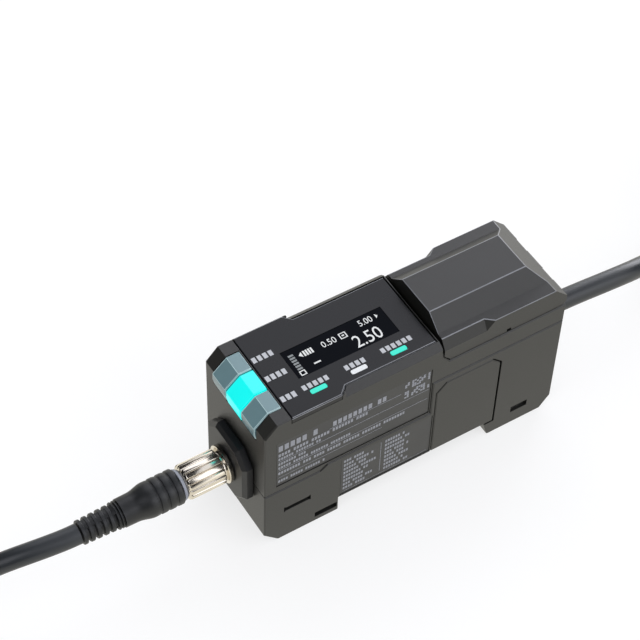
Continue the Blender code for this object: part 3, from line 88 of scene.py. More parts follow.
# The unit stands on a flat, plain white table. The room that gloss mirrors is bright low down
# and behind the unit, and dark above it and in front.
# One wide soft box hangs behind, where the flat tops mirror it, and one on the near side, for
# the cover's roof and the nut. Others over it, to the left and low at the rear light what the
# nut and the rear slope would otherwise mirror as black.
def srgb(code):
    """A colour written as sRGB hex, as the linear colour a shader wants."""
    parts = [int(code[i : i + 2], 16) / 255 for i in (1, 3, 5)]
    linear = [p / 12.92 if p <= 0.04045 else ((p + 0.055) / 1.055) ** 2.4 for p in parts]
    return (*linear, 1.0)


def add(tree, kind, settings=None, **links):
    """One node with its settings; each link names an input and gives the socket or value."""
    node = tree.nodes.new("ShaderNode" + kind)
    for key, value in (settings or {}).items():
        setattr(node, key, value)
    for key, value in links.items():
        name = key.replace("_", " ")
        socket = node.inputs[int(name[1:])] if name[0] == "i" and name[1:].isdigit() else node.inputs[name]
        if isinstance(value, bpy.types.NodeSocket):
            tree.links.new(value, socket)
        else:
            socket.default_value = value
    return node


TABLE_WHITE = "#FAFAF9"
TABLE_IN_GLOSS = "#FFFDF4"
TABLE_SIZE = 3.0

table = bpy.data.materials.new("laminated_table_top")
table.use_nodes = True
tree = table.node_tree
tree.nodes.clear()
rays = add(tree, "LightPath")
matt = add(tree, "BsdfDiffuse", Color=srgb(TABLE_WHITE))
lit = add(tree, "Emission", Color=srgb(TABLE_IN_GLOSS), Strength=1.0)
half_lit = add(tree, "Emission", Color=(1, 1, 1, 1), Strength=1.0)
seen = add(tree, "MixShader", Fac=0.72, i1=matt.outputs[0], i2=half_lit.outputs[0])
mirrored = add(
    tree,
    "Math",
    {"operation": "MAXIMUM"},
    i0=rays.outputs["Is Glossy Ray"],
    i1=rays.outputs["Is Transmission Ray"],
)
lower = add(tree, "MixShader", Fac=mirrored.outputs[0], i1=matt.outputs[0], i2=lit.outputs[0])
whole = add(
    tree, "MixShader", Fac=rays.outputs["Is Camera Ray"], i1=lower.outputs[0], i2=seen.outputs[0]
)
add(tree, "OutputMaterial", Surface=whole.outputs[0])

bpy.ops.mesh.primitive_plane_add(size=TABLE_SIZE, location=(0, 0, -0.0002))
table_top = bpy.context.object
table_top.name = "table_top"
table_top.data.materials.append(table)

world = bpy.data.worlds.new("studio")
bpy.context.scene.world = world
world.use_nodes = True
tree = world.node_tree
tree.nodes.clear()
rays = add(tree, "LightPath")
way = add(tree, "TexCoord")
parts = add(tree, "SeparateXYZ", Vector=way.outputs["Generated"])
behind = add(tree, "Math", {"operation": "MULTIPLY"}, i0=parts.outputs["X"], i1=-0.7)
level = add(tree, "Math", {"operation": "ADD"}, i0=parts.outputs["Z"], i1=behind.outputs[0])
wall = add(
    tree,
    "MapRange",
    {"interpolation_type": "SMOOTHSTEP"},
    Value=level.outputs[0],
    From_Min=0.25,
    From_Max=-0.15,
    To_Min=0.01,
    To_Max=1.5,
)
white = add(tree, "Background", Color=(1, 1, 1, 1), Strength=1.0)
fill = add(tree, "Background", Color=srgb("#EDEFF2"), Strength=0.55)
walls = add(tree, "Background", Color=(1, 1, 1, 1), Strength=wall.outputs[0])
soft = add(tree, "MixShader", Fac=rays.outputs["Is Glossy Ray"], i1=fill.outputs[0], i2=walls.outputs[0])
sky = add(tree, "MixShader", Fac=rays.outputs["Is Camera Ray"], i1=soft.outputs[0], i2=white.outputs[0])
add(tree, "OutputWorld", Surface=sky.outputs[0])

LAMP_WHITE = "#F4F5FD"
# Each lamp: where it hangs, its width and height, and its power
SOFT_BOXES = {
    "soft_box_behind": ((0.55, 0.80, 1.05), (1.3, 1.0), 8.4),
    "soft_box_left": ((-0.9, -0.5, 1.2), (1.0, 1.0), 6.0),
    "soft_box_over": ((0.48, -0.16, 1.35), (0.9, 0.75), 2.6),
    "soft_box_rear": ((1.30, 0.75, 0.36), (0.9, 0.5), 8.0),
    "soft_box_near": ((0.55, -1.10, 0.95), (1.3, 1.0), 8.6),
}
for name, (place, size, power) in SOFT_BOXES.items():
    lamp = bpy.data.lights.new(name, "AREA")
    lamp.shape = "RECTANGLE"
    lamp.size, lamp.size_y = size
    lamp.energy = power
    lamp.color = srgb(LAMP_WHITE)[:3]
    box = put(name, lamp)
    box.location = place
    box.rotation_euler = (Vector((0, 0, 0.03)) - Vector(place)).to_track_quat("-Z", "Y").to_euler()
    box.visible_camera = False

bpy.context.scene.view_settings.view_transform = "Standard"


# The rear cable is the unit's own supply and output lead: many fine cores in an extruded,
# oil-proof PVC jacket, moulded into its bush. Only its first few centimetres are in view; the
# rest is folded into a hank that lies in line behind the unit, and its cores end bare.
REAR_CABLE = 6.0
REAR_ROUTE = (
    (102.3, 0.0, 22.75),
    (106.0, 0.0, 22.6),
    (112.0, 0.0, 22.2),
    (119.0, 0.0, 21.5),
    (126.0, 0.3, 20.4),
    (132.0, 1.1, 18.7),
    (138.0, 2.5, 16.3),
    (144.0, 4.4, 13.2),
    (150.0, 6.6, 9.9),
    (156.0, 8.8, 6.9),
    (162.0, 10.7, 4.6),
    (168.0, 11.8, 3.4),
    (172.9, 12.0, 3.1),
)
HANK_SIDE = 15.0
HANK_FOOT = 0.1
RUN_STEPS = 6
BEND_STEPS = 12
CABLE_SPACING = 2.4
# Where a hank starts, its length and width, and how many turns it has
REAR_HANK = (166.9, 114.0, 42.0, 7)
STRIPPED_FROM = REAR_HANK[0] + 23.0
JACKET_BLACK = "#1D2023"
TALC_GREY = "#2A2E32"


def smooth_run(points, spacing):
    """Evenly spaced points on a smooth curve through the given ones, all in millimetres."""
    knots = [Vector(p) for p in points]
    padded = [2 * knots[0] - knots[1], *knots, 2 * knots[-1] - knots[-2]]
    fine = []
    for a, b, c, d in zip(padded, padded[1:], padded[2:], padded[3:]):
        fine += geometry.interpolate_bezier(b, b + (c - a) / 6, c - (d - b) / 6, c, 17)[:-1]
    fine.append(knots[-1])
    reached = [0.0]
    for a, b in zip(fine, fine[1:]):
        reached.append(reached[-1] + (b - a).length)
    count = max(2, round(reached[-1] / spacing))
    placed = []
    i = 0
    for k in range(count + 1):
        wanted = reached[-1] * k / count
        while i < len(fine) - 2 and reached[i + 1] < wanted:
            i += 1
        share = (wanted - reached[i]) / (reached[i + 1] - reached[i])
        placed.append(fine[i].lerp(fine[i + 1], share))
    return placed


def hank_turns(start, length, width, turns, diameter, way):
    """A hank's turns from its far run on: each lies on the one below, way is the first run's."""
    radius = (width - diameter) / 2
    centre = HANK_SIDE - width / 2
    ends = (start + width / 2, start + length - width / 2)
    entry, back = (ends[0], ends[1]) if way > 0 else (ends[1], ends[0])
    points = []
    for layer in range(turns):
        low = HANK_FOOT + diameter * (layer + 0.5) - 0.02
        high = low + (diameter if layer < turns - 1 else diameter * 0.4)
        for k in range(RUN_STEPS):
            points.append((entry + (back - entry) * k / RUN_STEPS, centre + radius, low))
        for k in range(BEND_STEPS):
            bend = math.pi * k / BEND_STEPS
            points.append(
                (back + way * radius * math.sin(bend), centre + radius * math.cos(bend), low)
            )
        for k in range(RUN_STEPS):
            points.append((back + (entry - back) * k / RUN_STEPS, centre - radius, low))
        for k in range(BEND_STEPS):
            bend = math.pi * k / BEND_STEPS
            rise = (1 - math.cos(bend)) / 2
            points.append(
                (
                    entry - way * radius * math.sin(bend),
                    centre - radius * math.cos(bend),
                    low + (high - low) * rise,
                )
            )
    return points


def lay_cable(name, run, diameter, material):
    """A cable as one open line with a round section, through points in millimetres."""
    line = bpy.data.curves.new(name, "CURVE")
    line.dimensions = "3D"
    line.bevel_depth = diameter / 2 * MM
    line.bevel_resolution = 6
    line.use_fill_caps = True
    spline = line.splines.new("POLY")
    spline.points.add(len(run) - 1)
    for point, place in zip(spline.points, run):
        point.co = (*at(*place), 1.0)
    spline.use_smooth = True
    line.materials.append(material)
    return put(name, line)


def begin(name, **values):
    """A material with plain values on its shader; also its tree, shader and object coordinates."""
    material = bpy.data.materials.new(name)
    material.use_nodes = True
    tree = material.node_tree
    shader = tree.nodes["Principled BSDF"]
    for key, value in values.items():
        shader.inputs[key.replace("_", " ")].default_value = value
    return material, tree, shader, add(tree, "TexCoord").outputs["Object"]


def vary(shader, name, pattern, low, high):
    """Lets a pattern carry a shader's input between two colours or two numbers."""
    tree = shader.id_data
    if isinstance(low, str):
        blend = add(tree, "Mix", {"data_type": "RGBA"}, Factor=pattern, i6=srgb(low), i7=srgb(high))
        tree.links.new(blend.outputs[2], shader.inputs[name])
    else:
        span = add(tree, "MapRange", Value=pattern, From_Min=0.3, From_Max=0.7, To_Min=low, To_Max=high)
        tree.links.new(span.outputs[0], shader.inputs[name])


# Extruded flexible PVC: a satin skin with a faint grain from the die, a little dust on it
jacket, tree, shader, place = begin("extruded_pvc_jacket", IOR=1.53)
SKIN_GRAIN_MM = 0.6
grain = add(
    tree, "TexNoise", Vector=place, Scale=1 / (SKIN_GRAIN_MM * MM), Detail=3.0, Roughness=0.6
)
dust = add(tree, "TexNoise", Vector=place, Scale=60.0, Detail=4.0)
vary(shader, "Base Color", dust.outputs["Fac"], JACKET_BLACK, TALC_GREY)
vary(shader, "Roughness", dust.outputs["Fac"], 0.34, 0.46)
bump = add(tree, "Bump", Height=grain.outputs["Fac"], Strength=0.12, Distance=0.00005)
tree.links.new(bump.outputs[0], shader.inputs["Normal"])

start, length, width, turns = REAR_HANK
far_run = HANK_SIDE - REAR_CABLE / 2
top_layer = HANK_FOOT + REAR_CABLE * (turns + 0.5)
rear_points = list(REAR_ROUTE) + hank_turns(start, length, width, turns, REAR_CABLE, 1)[1:]
rear_points += [
    (start + width / 2 - 6, far_run, top_layer - 0.8),
    (STRIPPED_FROM - 0.3, far_run, top_layer + 0.3),
]
rear_cable = lay_cable("rear_lead", smooth_run(rear_points, CABLE_SPACING), REAR_CABLE, jacket)
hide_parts("rear_cable", "rear_hank")
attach(rear_cable, "housing")

# The front cable runs to the measuring head: the same kind of jacket, a little thinner, moulded
# into its round plug. What the picture doesn't show is folded into a short hank in front.
FRONT_CABLE = 5.7
FRONT_ROUTE = (
    (-46.5, 0.0, 22.75),
    (-50.0, 0.1, 22.75),
    (-55.0, 0.6, 22.7),
    (-60.0, 1.4, 22.4),
    (-65.0, 2.6, 21.5),
    (-70.0, 4.1, 19.7),
    (-75.0, 5.7, 17.0),
    (-80.0, 7.4, 13.7),
    (-85.0, 9.1, 10.2),
    (-90.0, 10.6, 7.0),
    (-95.0, 11.6, 4.6),
    (-100.0, 12.1, 3.3),
    (-105.5, 12.15, 2.95),
)
FRONT_HANK = (-189.9, 90.0, 40.0, 2)
SOCKET_RADIUS = 5.6
SOCKET_SIDE = 10.7
SOCKET_LENGTH = 20.0

start, length, width, turns = FRONT_HANK
entry = start + length - width / 2
far_run = HANK_SIDE - FRONT_CABLE / 2
socket_height = HANK_FOOT + turns * FRONT_CABLE + 0.3 + SOCKET_RADIUS
front_points = list(FRONT_ROUTE) + hank_turns(start, length, width, turns, FRONT_CABLE, -1)[1:-BEND_STEPS]
near_run = HANK_SIDE - width + FRONT_CABLE / 2
bend_radius = (SOCKET_SIDE - near_run) / 2
last_layer = HANK_FOOT + FRONT_CABLE * (turns - 0.5)
for k in range(BEND_STEPS + 1):
    bend = math.pi * k / BEND_STEPS
    front_points.append(
        (
            entry + bend_radius * math.sin(bend),
            near_run + bend_radius * (1 - math.cos(bend)),
            last_layer + (socket_height - last_layer) * (1 - math.cos(bend)) / 2,
        )
    )
front_cable = lay_cable("front_lead", smooth_run(front_points, CABLE_SPACING), FRONT_CABLE, jacket)
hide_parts("front_cable", "front_hank")
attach(front_cable, "housing")

# The plug on the front cable is overmoulded black polyurethane: three grip ribs, a barrel that
# draws in towards the cable, two rings, and a strain relief of ribs on two spines that bends.
PLUG_AXIS = 22.75
PLUG_START = -17.6
RIB_PITCH = 2.45
RIB_GROOVE = 0.45
RIB_RADIUS = 5.0
BARREL_LENGTH = 9.5
BARREL_RADIUS = 4.15
RING_STEP = 0.45
RELIEF_LENGTH = 9.9
RELIEF_RADIUS = 3.62
RELIEF_SLOT = 0.9
RELIEF_RIBS = 5
RELIEF_CORE = 2.75
SPINE_HALF_ANGLE = 26.0
RUBBER_BLACK = "#0E1012"
# Paler colour painted on the sharp edges as a highlight
RUBBER_EDGE_HIGHLIGHT = "#1E2124"


def lathe(profile, centre, steps):
    """A mesh turned about the X axis through centre, from (along, radius) points."""
    bm = bmesh.new()
    rings = []
    for along, radius in profile:
        if radius <= 0:
            rings.append([bm.verts.new((along, centre[0], centre[1]))])
            continue
        ring = []
        for k in range(steps):
            turn = 2 * math.pi * k / steps
            y, z = centre[0] + radius * math.cos(turn), centre[1] + radius * math.sin(turn)
            ring.append(bm.verts.new((along, y, z)))
        rings.append(ring)
    for a, b in zip(rings, rings[1:]):
        for i in range(steps):
            j = (i + 1) % steps
            corners = [a[i % len(a)], a[j % len(a)], b[j % len(b)], b[i % len(b)]]
            corners = list(dict.fromkeys(corners))
            if len(corners) > 2:
                bm.faces.new(corners)
    return bm


def skin_rings(bm, rings):
    """Faces between neighbouring closed rings that have the same number of vertices."""
    steps = len(rings[0])
    for a, b in zip(rings, rings[1:]):
        for i in range(steps):
            bm.faces.new((a[i], a[(i + 1) % steps], b[(i + 1) % steps], b[i]))


def block(bm, low, high):
    """Adds a block between two corners to a mesh."""
    for vert in bmesh.ops.create_cube(bm, size=1.0)["verts"]:
        vert.co = Vector([a + (b - a) * (c + 0.5) for a, b, c in zip(low, high, vert.co)])


def piece(name, bm, material, body="housing", stands_for=(), sharp=35.0):
    """A finished piece from a mesh that is drawn in the unit's millimetres."""
    for vert in bm.verts:
        vert.co = at(*vert.co)
    bmesh.ops.recalc_face_normals(bm, faces=bm.faces)
    mesh = bpy.data.meshes.new(name)
    bm.to_mesh(mesh)
    bm.free()
    mesh.materials.append(material)
    mesh.shade_smooth()
    mesh.set_sharp_from_angle(angle=math.radians(sharp))
    made = put(name, mesh)
    if stands_for:
        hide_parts(*stands_for)
    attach(made, body)
    return made


def carve(target, cutter_mesh):
    """Cuts a mesh, drawn in the unit's millimetres, out of a finished piece."""
    for vert in cutter_mesh.verts:
        vert.co = at(*vert.co)
    bmesh.ops.recalc_face_normals(cutter_mesh, faces=cutter_mesh.faces)
    mesh = bpy.data.meshes.new("cutter")
    cutter_mesh.to_mesh(mesh)
    cutter_mesh.free()
    cutter = put("cutter", mesh)
    step = target.modifiers.new("cut", "BOOLEAN")
    step.operation = "DIFFERENCE"
    step.solver = "EXACT"
    step.object = cutter
    graph = bpy.context.evaluated_depsgraph_get()
    cut_mesh = bpy.data.meshes.new_from_object(target.evaluated_get(graph))
    target.modifiers.clear()
    target.data = cut_mesh
    bpy.data.objects.remove(cutter)
    cut_mesh.shade_smooth()
    cut_mesh.set_sharp_from_angle(angle=math.radians(35))


# Overmoulded polyurethane: near black, its skin satin, with a painted highlight that makes the sharp edges
# paler
rubber, tree, shader, place = begin("overmoulded_polyurethane", IOR=1.5)
SKIN_MM = 0.5
skin = add(tree, "TexNoise", Vector=place, Scale=1 / (SKIN_MM * MM), Detail=4.0)
cloud = add(tree, "TexNoise", Vector=place, Scale=180.0, Detail=3.0)
edges = add(tree, "NewGeometry")
# Painted highlight: the sharp edges, found by their pointiness, are painted paler
edge_highlight_mask = add(
    tree, "MapRange", Value=edges.outputs["Pointiness"], From_Min=0.5, From_Max=0.62, To_Min=0.0, To_Max=0.8
)
vary(shader, "Base Color", edge_highlight_mask.outputs[0], RUBBER_BLACK, RUBBER_EDGE_HIGHLIGHT)
vary(shader, "Roughness", cloud.outputs["Fac"], 0.4, 0.52)
bump = add(tree, "Bump", Height=skin.outputs["Fac"], Strength=0.2, Distance=0.00004)
tree.links.new(bump.outputs[0], shader.inputs["Normal"])

profile = [(-12.1, 0.0), (-12.1, 3.0), (PLUG_START, 3.0), (PLUG_START, RIB_RADIUS - 0.5)]
profile.append((PLUG_START - 0.12, RIB_RADIUS - 0.22))
for rib in range(3):
    near = PLUG_START - rib * RIB_PITCH
    far = near - RIB_PITCH + RIB_GROOVE
    profile += [
        (near - 0.32, RIB_RADIUS - 0.05),
        (near - 0.5, RIB_RADIUS),
        (far + 0.4, RIB_RADIUS),
        (far + 0.2, RIB_RADIUS - 0.05),
        (far + 0.08, RIB_RADIUS - 0.3),
        (near - RIB_PITCH + 0.16, RIB_RADIUS - 0.3),
        (near - RIB_PITCH + 0.02, RIB_RADIUS - 0.12),
    ]
rib_end = PLUG_START - 3 * RIB_PITCH
for k in range(2, 21):
    share = k / 20
    draw = min(1.0, max(0.0, (share - 0.12) / 0.5))
    ease = draw * draw * (3 - 2 * draw)
    radius = RIB_RADIUS - 0.06 - (RIB_RADIUS - BARREL_RADIUS) * ease - 0.16 * max(0.0, share - 0.6)
    profile.append((rib_end - BARREL_LENGTH * share, radius))
barrel_end = rib_end - BARREL_LENGTH
for k in range(2):
    ring = barrel_end - 2 * k * RING_STEP
    profile += [
        (ring - RING_STEP * 0.1, RELIEF_RADIUS - 0.35),
        (ring - RING_STEP * 0.95, RELIEF_RADIUS - 0.35),
        (ring - RING_STEP * 1.1, RELIEF_RADIUS + 0.15),
        (ring - RING_STEP * 1.25, RELIEF_RADIUS + 0.24),
        (ring - RING_STEP * 1.75, RELIEF_RADIUS + 0.24),
        (ring - RING_STEP * 1.92, RELIEF_RADIUS + 0.12),
    ]
relief_start = barrel_end - 4 * RING_STEP
relief_end = relief_start - RELIEF_LENGTH
rib_step = RELIEF_LENGTH / RELIEF_RIBS
for k in range(RELIEF_RIBS):
    top = relief_start - rib_step * k
    radius = RELIEF_RADIUS - 0.24 * k / (RELIEF_RIBS - 1)
    profile += [
        (top - RELIEF_SLOT, radius - 0.1),
        (top - RELIEF_SLOT - 0.15, radius + 0.02),
        (top - rib_step + 0.15, radius + 0.02),
        (top - rib_step + 0.02, radius - 0.12),
    ]
profile += [(relief_end, RELIEF_RADIUS - 0.5), (relief_end, 0.0)]
plug_body = piece(
    "plug_body_moulding", lathe(profile, (0, PLUG_AXIS), 96), rubber, stands_for=("plug_body",)
)
slots = bmesh.new()
for k in range(RELIEF_RIBS):
    top = relief_start - rib_step * k
    for side in (-1, 1):
        corners = []
        for reach in (RELIEF_CORE, 5.0):
            for step in range(9):
                turn = (SPINE_HALF_ANGLE + (180 - 2 * SPINE_HALF_ANGLE) * step / 8) * math.pi / 180
                corners.append((side * reach * math.sin(turn), PLUG_AXIS + reach * math.cos(turn)))
        walls = (top - RELIEF_SLOT, top - 0.02)
        rings = [[slots.verts.new((x, y, z)) for y, z in corners] for x in walls]
        for i in range(8):
            for ring in rings:
                slots.faces.new((ring[i], ring[i + 1], ring[i + 10], ring[i + 9]))
            for j in (0, 9):
                slots.faces.new((rings[0][i + j], rings[0][i + j + 1], rings[1][i + j + 1], rings[1][i + j]))
        for i in (0, 8):
            slots.faces.new((rings[0][i], rings[0][i + 9], rings[1][i + 9], rings[1][i]))
carve(plug_body, slots)

# The coupling nut is turned from brass and nickel plated: eighteen flutes for the fingers, a
# groove, and a plain ring against the flange. It turns freely on the plug.
NUT_START = -3.3
NUT_END = -16.4
NUT_RADIUS = 5.0
NUT_RING_RADIUS = 5.45
NUT_FLUTES = 18
FLUTE_DEPTH = 0.34
FLUTE_STEPS = 16
FLUTE_NARROWS = 5.4
NUT_BORE = 4.2
NUT_NECK_BORE = 3.4
NUT_SHOULDER = -12.2
NICKEL = "#E3DCCF"
NICKEL_SHADE = "#CFC6B7"

# Bright nickel on turned brass: a warm mirror, faintly brushed round by the lathe
nickel, tree, shader, place = begin("bright_nickel_on_brass", Metallic=1.0)
stretch = add(tree, "Mapping", Vector=place, Scale=(9000.0, 260.0, 260.0))
turning = add(tree, "TexNoise", Vector=stretch.outputs[0], Scale=1.0, Detail=2.0)
film = add(tree, "TexNoise", Vector=place, Scale=320.0, Detail=3.0)
vary(shader, "Base Color", film.outputs["Fac"], NICKEL, NICKEL_SHADE)
vary(shader, "Roughness", turning.outputs["Fac"], 0.13, 0.2)
bump = add(tree, "Bump", Height=turning.outputs["Fac"], Strength=0.08, Distance=0.00002)
tree.links.new(bump.outputs[0], shader.inputs["Normal"])

# Along, radius and how much of the flutes' depth shows there
nut_profile = [
    (NUT_END, NUT_NECK_BORE, 0.0),
    (NUT_END, NUT_RADIUS - 1.0, 0.0),
    (NUT_END + 0.12, NUT_RADIUS - 0.78, 0.0),
    (NUT_END + 0.45, NUT_RADIUS - 0.4, 0.35),
    (NUT_END + 0.75, NUT_RADIUS - 0.1, 0.85),
    (NUT_END + 1.0, NUT_RADIUS, 1.0),
    (-5.7, NUT_RADIUS, 1.0),
    (-5.45, NUT_RADIUS - 0.06, 1.0),
    (-5.32, NUT_RADIUS - 0.25, 0.6),
    (-5.3, NUT_RADIUS - 0.7, 0.0),
    (-4.62, NUT_RADIUS - 0.7, 0.0),
    (-4.6, NUT_RING_RADIUS - 0.2, 0.0),
    (-4.42, NUT_RING_RADIUS, 0.0),
    (-3.65, NUT_RING_RADIUS, 0.0),
    (-3.42, NUT_RING_RADIUS - 0.12, 0.0),
    (NUT_START, NUT_RING_RADIUS - 0.4, 0.0),
    (NUT_START, NUT_BORE, 0.0),
]
bm = bmesh.new()
rings = []
steps = NUT_FLUTES * FLUTE_STEPS
for along, radius, share in nut_profile:
    ring = []
    for k in range(steps):
        turn = 2 * math.pi * k / steps
        off = abs((k / FLUTE_STEPS + 0.5) % 1 - 0.5) * FLUTE_NARROWS
        drop = FLUTE_DEPTH * share * (1 + math.cos(math.pi * min(off, 1.0))) / 2
        reach = radius - drop
        ring.append(bm.verts.new((along, reach * math.cos(turn), PLUG_AXIS + reach * math.sin(turn))))
    rings.append(ring)
skin_rings(bm, rings)
bore = [
    (NUT_START, NUT_BORE),
    (NUT_SHOULDER, NUT_BORE),
    (NUT_SHOULDER, NUT_NECK_BORE),
    (NUT_END, NUT_NECK_BORE),
]
inner = []
for along, radius in bore:
    ring = []
    for k in range(steps):
        turn = 2 * math.pi * k / steps
        ring.append(bm.verts.new((along, radius * math.cos(turn), PLUG_AXIS + radius * math.sin(turn))))
    inner.append(ring)
skin_rings(bm, inner)
bmesh.ops.remove_doubles(bm, verts=bm.verts, dist=0.0005)
coupling_nut = piece(
    "nickel_coupling_nut", bm, nickel, body="nut", stands_for=("coupling_nut",), sharp=28
)

# Between the nut and the plug sits a grey silicone ring that seals the joint. The receptacle's
# own sleeve, its contacts and the plug's insert lie inside the nut.
SEAL_GREY = "#8B8E96"

# Moulded silicone: a matt, slightly milky grey
silicone, tree, shader, place = begin("moulded_silicone", Roughness=0.5, IOR=1.41)
milk = add(tree, "TexNoise", Vector=place, Scale=400.0, Detail=2.0)
vary(shader, "Base Color", milk.outputs["Fac"], SEAL_GREY, "#9A9DA4")
seal_profile = [
    (-17.5, 3.2),
    (-17.5, 4.3),
    (-17.4, 4.48),
    (-17.2, 4.5),
    (-16.75, 4.34),
    (-16.6, 4.25),
    (-16.5, 4.1),
    (-16.5, 3.2),
    (-17.5, 3.2),
]
seal_mesh = lathe(seal_profile, (0, PLUG_AXIS), 72)
bmesh.ops.remove_doubles(seal_mesh, verts=seal_mesh.verts, dist=0.0005)
seal_ring = piece("silicone_seal_ring", seal_mesh, silicone, stands_for=("seal_ring",))

# Gilt bronze contacts in a glass-filled insert; only the contact ends would show, unplugged
gilt, tree, shader, place = begin("gold_flashed_bronze", Metallic=1.0, Roughness=0.24)
film = add(tree, "TexNoise", Vector=place, Scale=900.0)
vary(shader, "Base Color", film.outputs["Fac"], "#D9B25A", "#C79A45")


def dress(node, material):
    """Gives a CAD part that keeps its shape its real finish."""
    owner = nodes[node]
    for place_in_list in range(len(owner.material_slots)):
        owner.material_slots[place_in_list].material = material


dress("contact_insert", gilt)
dress("receptacle_shell", nickel)

# The receptacle's flange is an eight-sided plate of glass-filled nylon that is bolted through
# the front wall from inside; its front edge is bevelled all round.
FLANGE_BLACK = "#0C0D10"
FLANGE_DUST = "#15171A"


def rounded_copy(node, name, radius, material, body="housing", corner=24.0, ridges=None, edge=None):
    """A CAD part's own shape, its sharp edges rounded as a mould leaves them.

    Where ridges is given, only the outward edges that it holds for are rounded. The rounded
    edges get the edge material, a paler painted highlight where one is given.
    """
    bm = bmesh.new()
    bm.from_mesh(nodes[node].data)
    bmesh.ops.remove_doubles(bm, verts=bm.verts, dist=0.000002)
    bmesh.ops.dissolve_limit(bm, angle_limit=math.radians(1.0), verts=bm.verts, edges=bm.edges)
    sharp_edges = []
    for side in bm.edges:
        if len(side.link_faces) != 2 or side.calc_face_angle(0) < math.radians(corner):
            continue
        middle = (side.verts[0].co + side.verts[1].co) / 2 / MM
        middle.x -= SHIFT
        if ridges is None or (side.is_convex and ridges(middle, side.calc_length() / MM)):
            sharp_edges.append(side)
    rounded = bmesh.ops.bevel(
        bm,
        geom=sharp_edges,
        offset=radius * MM,
        segments=2,
        profile=0.5,
        affect="EDGES",
        clamp_overlap=ridges is None,
    )
    for face in bm.faces:
        face.material_index = 0
    for face in rounded["faces"]:
        face.material_index = 0 if edge is None else 1
    mesh = bpy.data.meshes.new(name)
    bm.to_mesh(mesh)
    bm.free()
    mesh.materials.append(material)
    if edge is not None:
        mesh.materials.append(edge)
    mesh.shade_smooth()
    mesh.set_sharp_from_angle(angle=math.radians(50 if ridges is None else 12))
    made = put(name, mesh)
    weigh = made.modifiers.new("flat_faces_stay_flat", "WEIGHTED_NORMAL")
    weigh.keep_sharp = True
    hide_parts(node)
    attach(made, body)
    return made


# Glass-filled nylon: black, a dry matt skin with fibres just under it
nylon, tree, shader, place = begin("glass_filled_nylon", Roughness=0.48, IOR=1.53)
FIBRE_MM = 0.35
fibres = add(tree, "TexNoise", Vector=place, Scale=1 / (FIBRE_MM * MM), Detail=3.0)
vary(shader, "Base Color", fibres.outputs["Fac"], FLANGE_BLACK, FLANGE_DUST)
bump = add(tree, "Bump", Height=fibres.outputs["Fac"], Strength=0.25, Distance=0.00004)
tree.links.new(bump.outputs[0], shader.inputs["Normal"])
rounded_copy("connector_flange", "nylon_flange", 0.12, nylon)
dress("plug_insert", nylon)

# The case is two deep shells of grey-black ABS and polycarbonate, clipped together along the
# seam that steps up at the front and again behind. The mould is spark eroded, so the skin is matt.
CASE_BLACK = "#151513"
CASE_GREY = "#1C1C19"
GRAIN_MM = 0.3
CASE_EDGE_ROUND = 0.16

# Moulded ABS and polycarbonate: an even spark-eroded grain, drawn a little coarse to show
case_skin, tree, shader, place = begin("moulded_abs_polycarbonate", IOR=1.55)
grain = add(
    tree, "TexNoise", Vector=place, Scale=1 / (GRAIN_MM * MM), Detail=4.0, Roughness=0.65
)
flow = add(tree, "TexNoise", Vector=place, Scale=45.0, Detail=3.0)
vary(shader, "Base Color", flow.outputs["Fac"], CASE_BLACK, CASE_GREY)
vary(shader, "Roughness", grain.outputs["Fac"], 0.4, 0.5)
bump = add(tree, "Bump", Height=grain.outputs["Fac"], Strength=0.18, Distance=0.00003)
tree.links.new(bump.outputs[0], shader.inputs["Normal"])

# The same skin on the rounded edges, painted much paler than the case: a painted highlight along them
case_edge_highlight, tree, shader, place = begin("abs_polycarbonate_painted_edge_highlight", Roughness=0.35, IOR=1.55)
edge_highlight_noise = add(tree, "TexNoise", Vector=place, Scale=90.0, Detail=3.0)
vary(shader, "Base Color", edge_highlight_noise.outputs["Fac"], "#55565A", "#8C8E92")


def cover_ridges(middle, length):
    """The cover's long upper edges, which get the painted edge highlight."""
    return middle.z > 50.9 and length > 3.0


def long_top_edges(middle, length):
    """The long top edges that run beside the display."""
    return middle.z > 50.3 and abs(middle.y) > 10.5 and middle.x > 6.0 and length > 3.0


rounded_copy("base_case", "lower_shell", CASE_EDGE_ROUND, case_skin)
rounded_copy("upper_case", "upper_shell", CASE_EDGE_ROUND, case_skin)
rounded_copy("link_cover_near", "near_link_lid", 0.15, case_skin, body="near_link_cover")
rounded_copy("link_cover_far", "far_link_lid", 0.15, case_skin, body="far_link_cover")
rounded_copy("rail_slider", "rail_lock_slider", 0.12, case_skin, body="slider")
# The cover's ridges are painted paler as a highlight
rounded_copy(
    "key_cover", "hinged_key_cover", 0.17, case_skin,
    body="cover", corner=20.0, ridges=cover_ridges, edge=case_edge_highlight,
)

# Two matt labels lie in shallow recesses on the near side: printed polyester with a clear
# overlay. Their print is only rules, rows of small fields and a block of squares.
NEAR_FACE = -15.0
SQUARE_PITCH = 0.72
SQUARE_SIDE = 0.62
LABEL_GREY = "#17181B"
LABEL_PRINT = "#8E9096"
LABEL_LIFT = 0.06
PRINT_LIFT = 0.03

# Printed polyester: a smooth satin film, a little bluer than the case it lies on
label_film, tree, shader, place = begin("printed_polyester_label", IOR=1.55)
waves = add(tree, "TexNoise", Vector=place, Scale=70.0, Detail=2.0)
vary(shader, "Base Color", waves.outputs["Fac"], LABEL_GREY, "#1D1E22")
vary(shader, "Roughness", waves.outputs["Fac"], 0.36, 0.44)

# Screen ink on the labels: pale grey, thin enough for the film to show through
label_ink, tree, shader, place = begin("grey_screen_ink", Roughness=0.45)
cover = add(tree, "TexNoise", Vector=place, Scale=1500.0, Detail=2.0)
vary(shader, "Base Color", cover.outputs["Fac"], "#7C7E84", LABEL_PRINT)


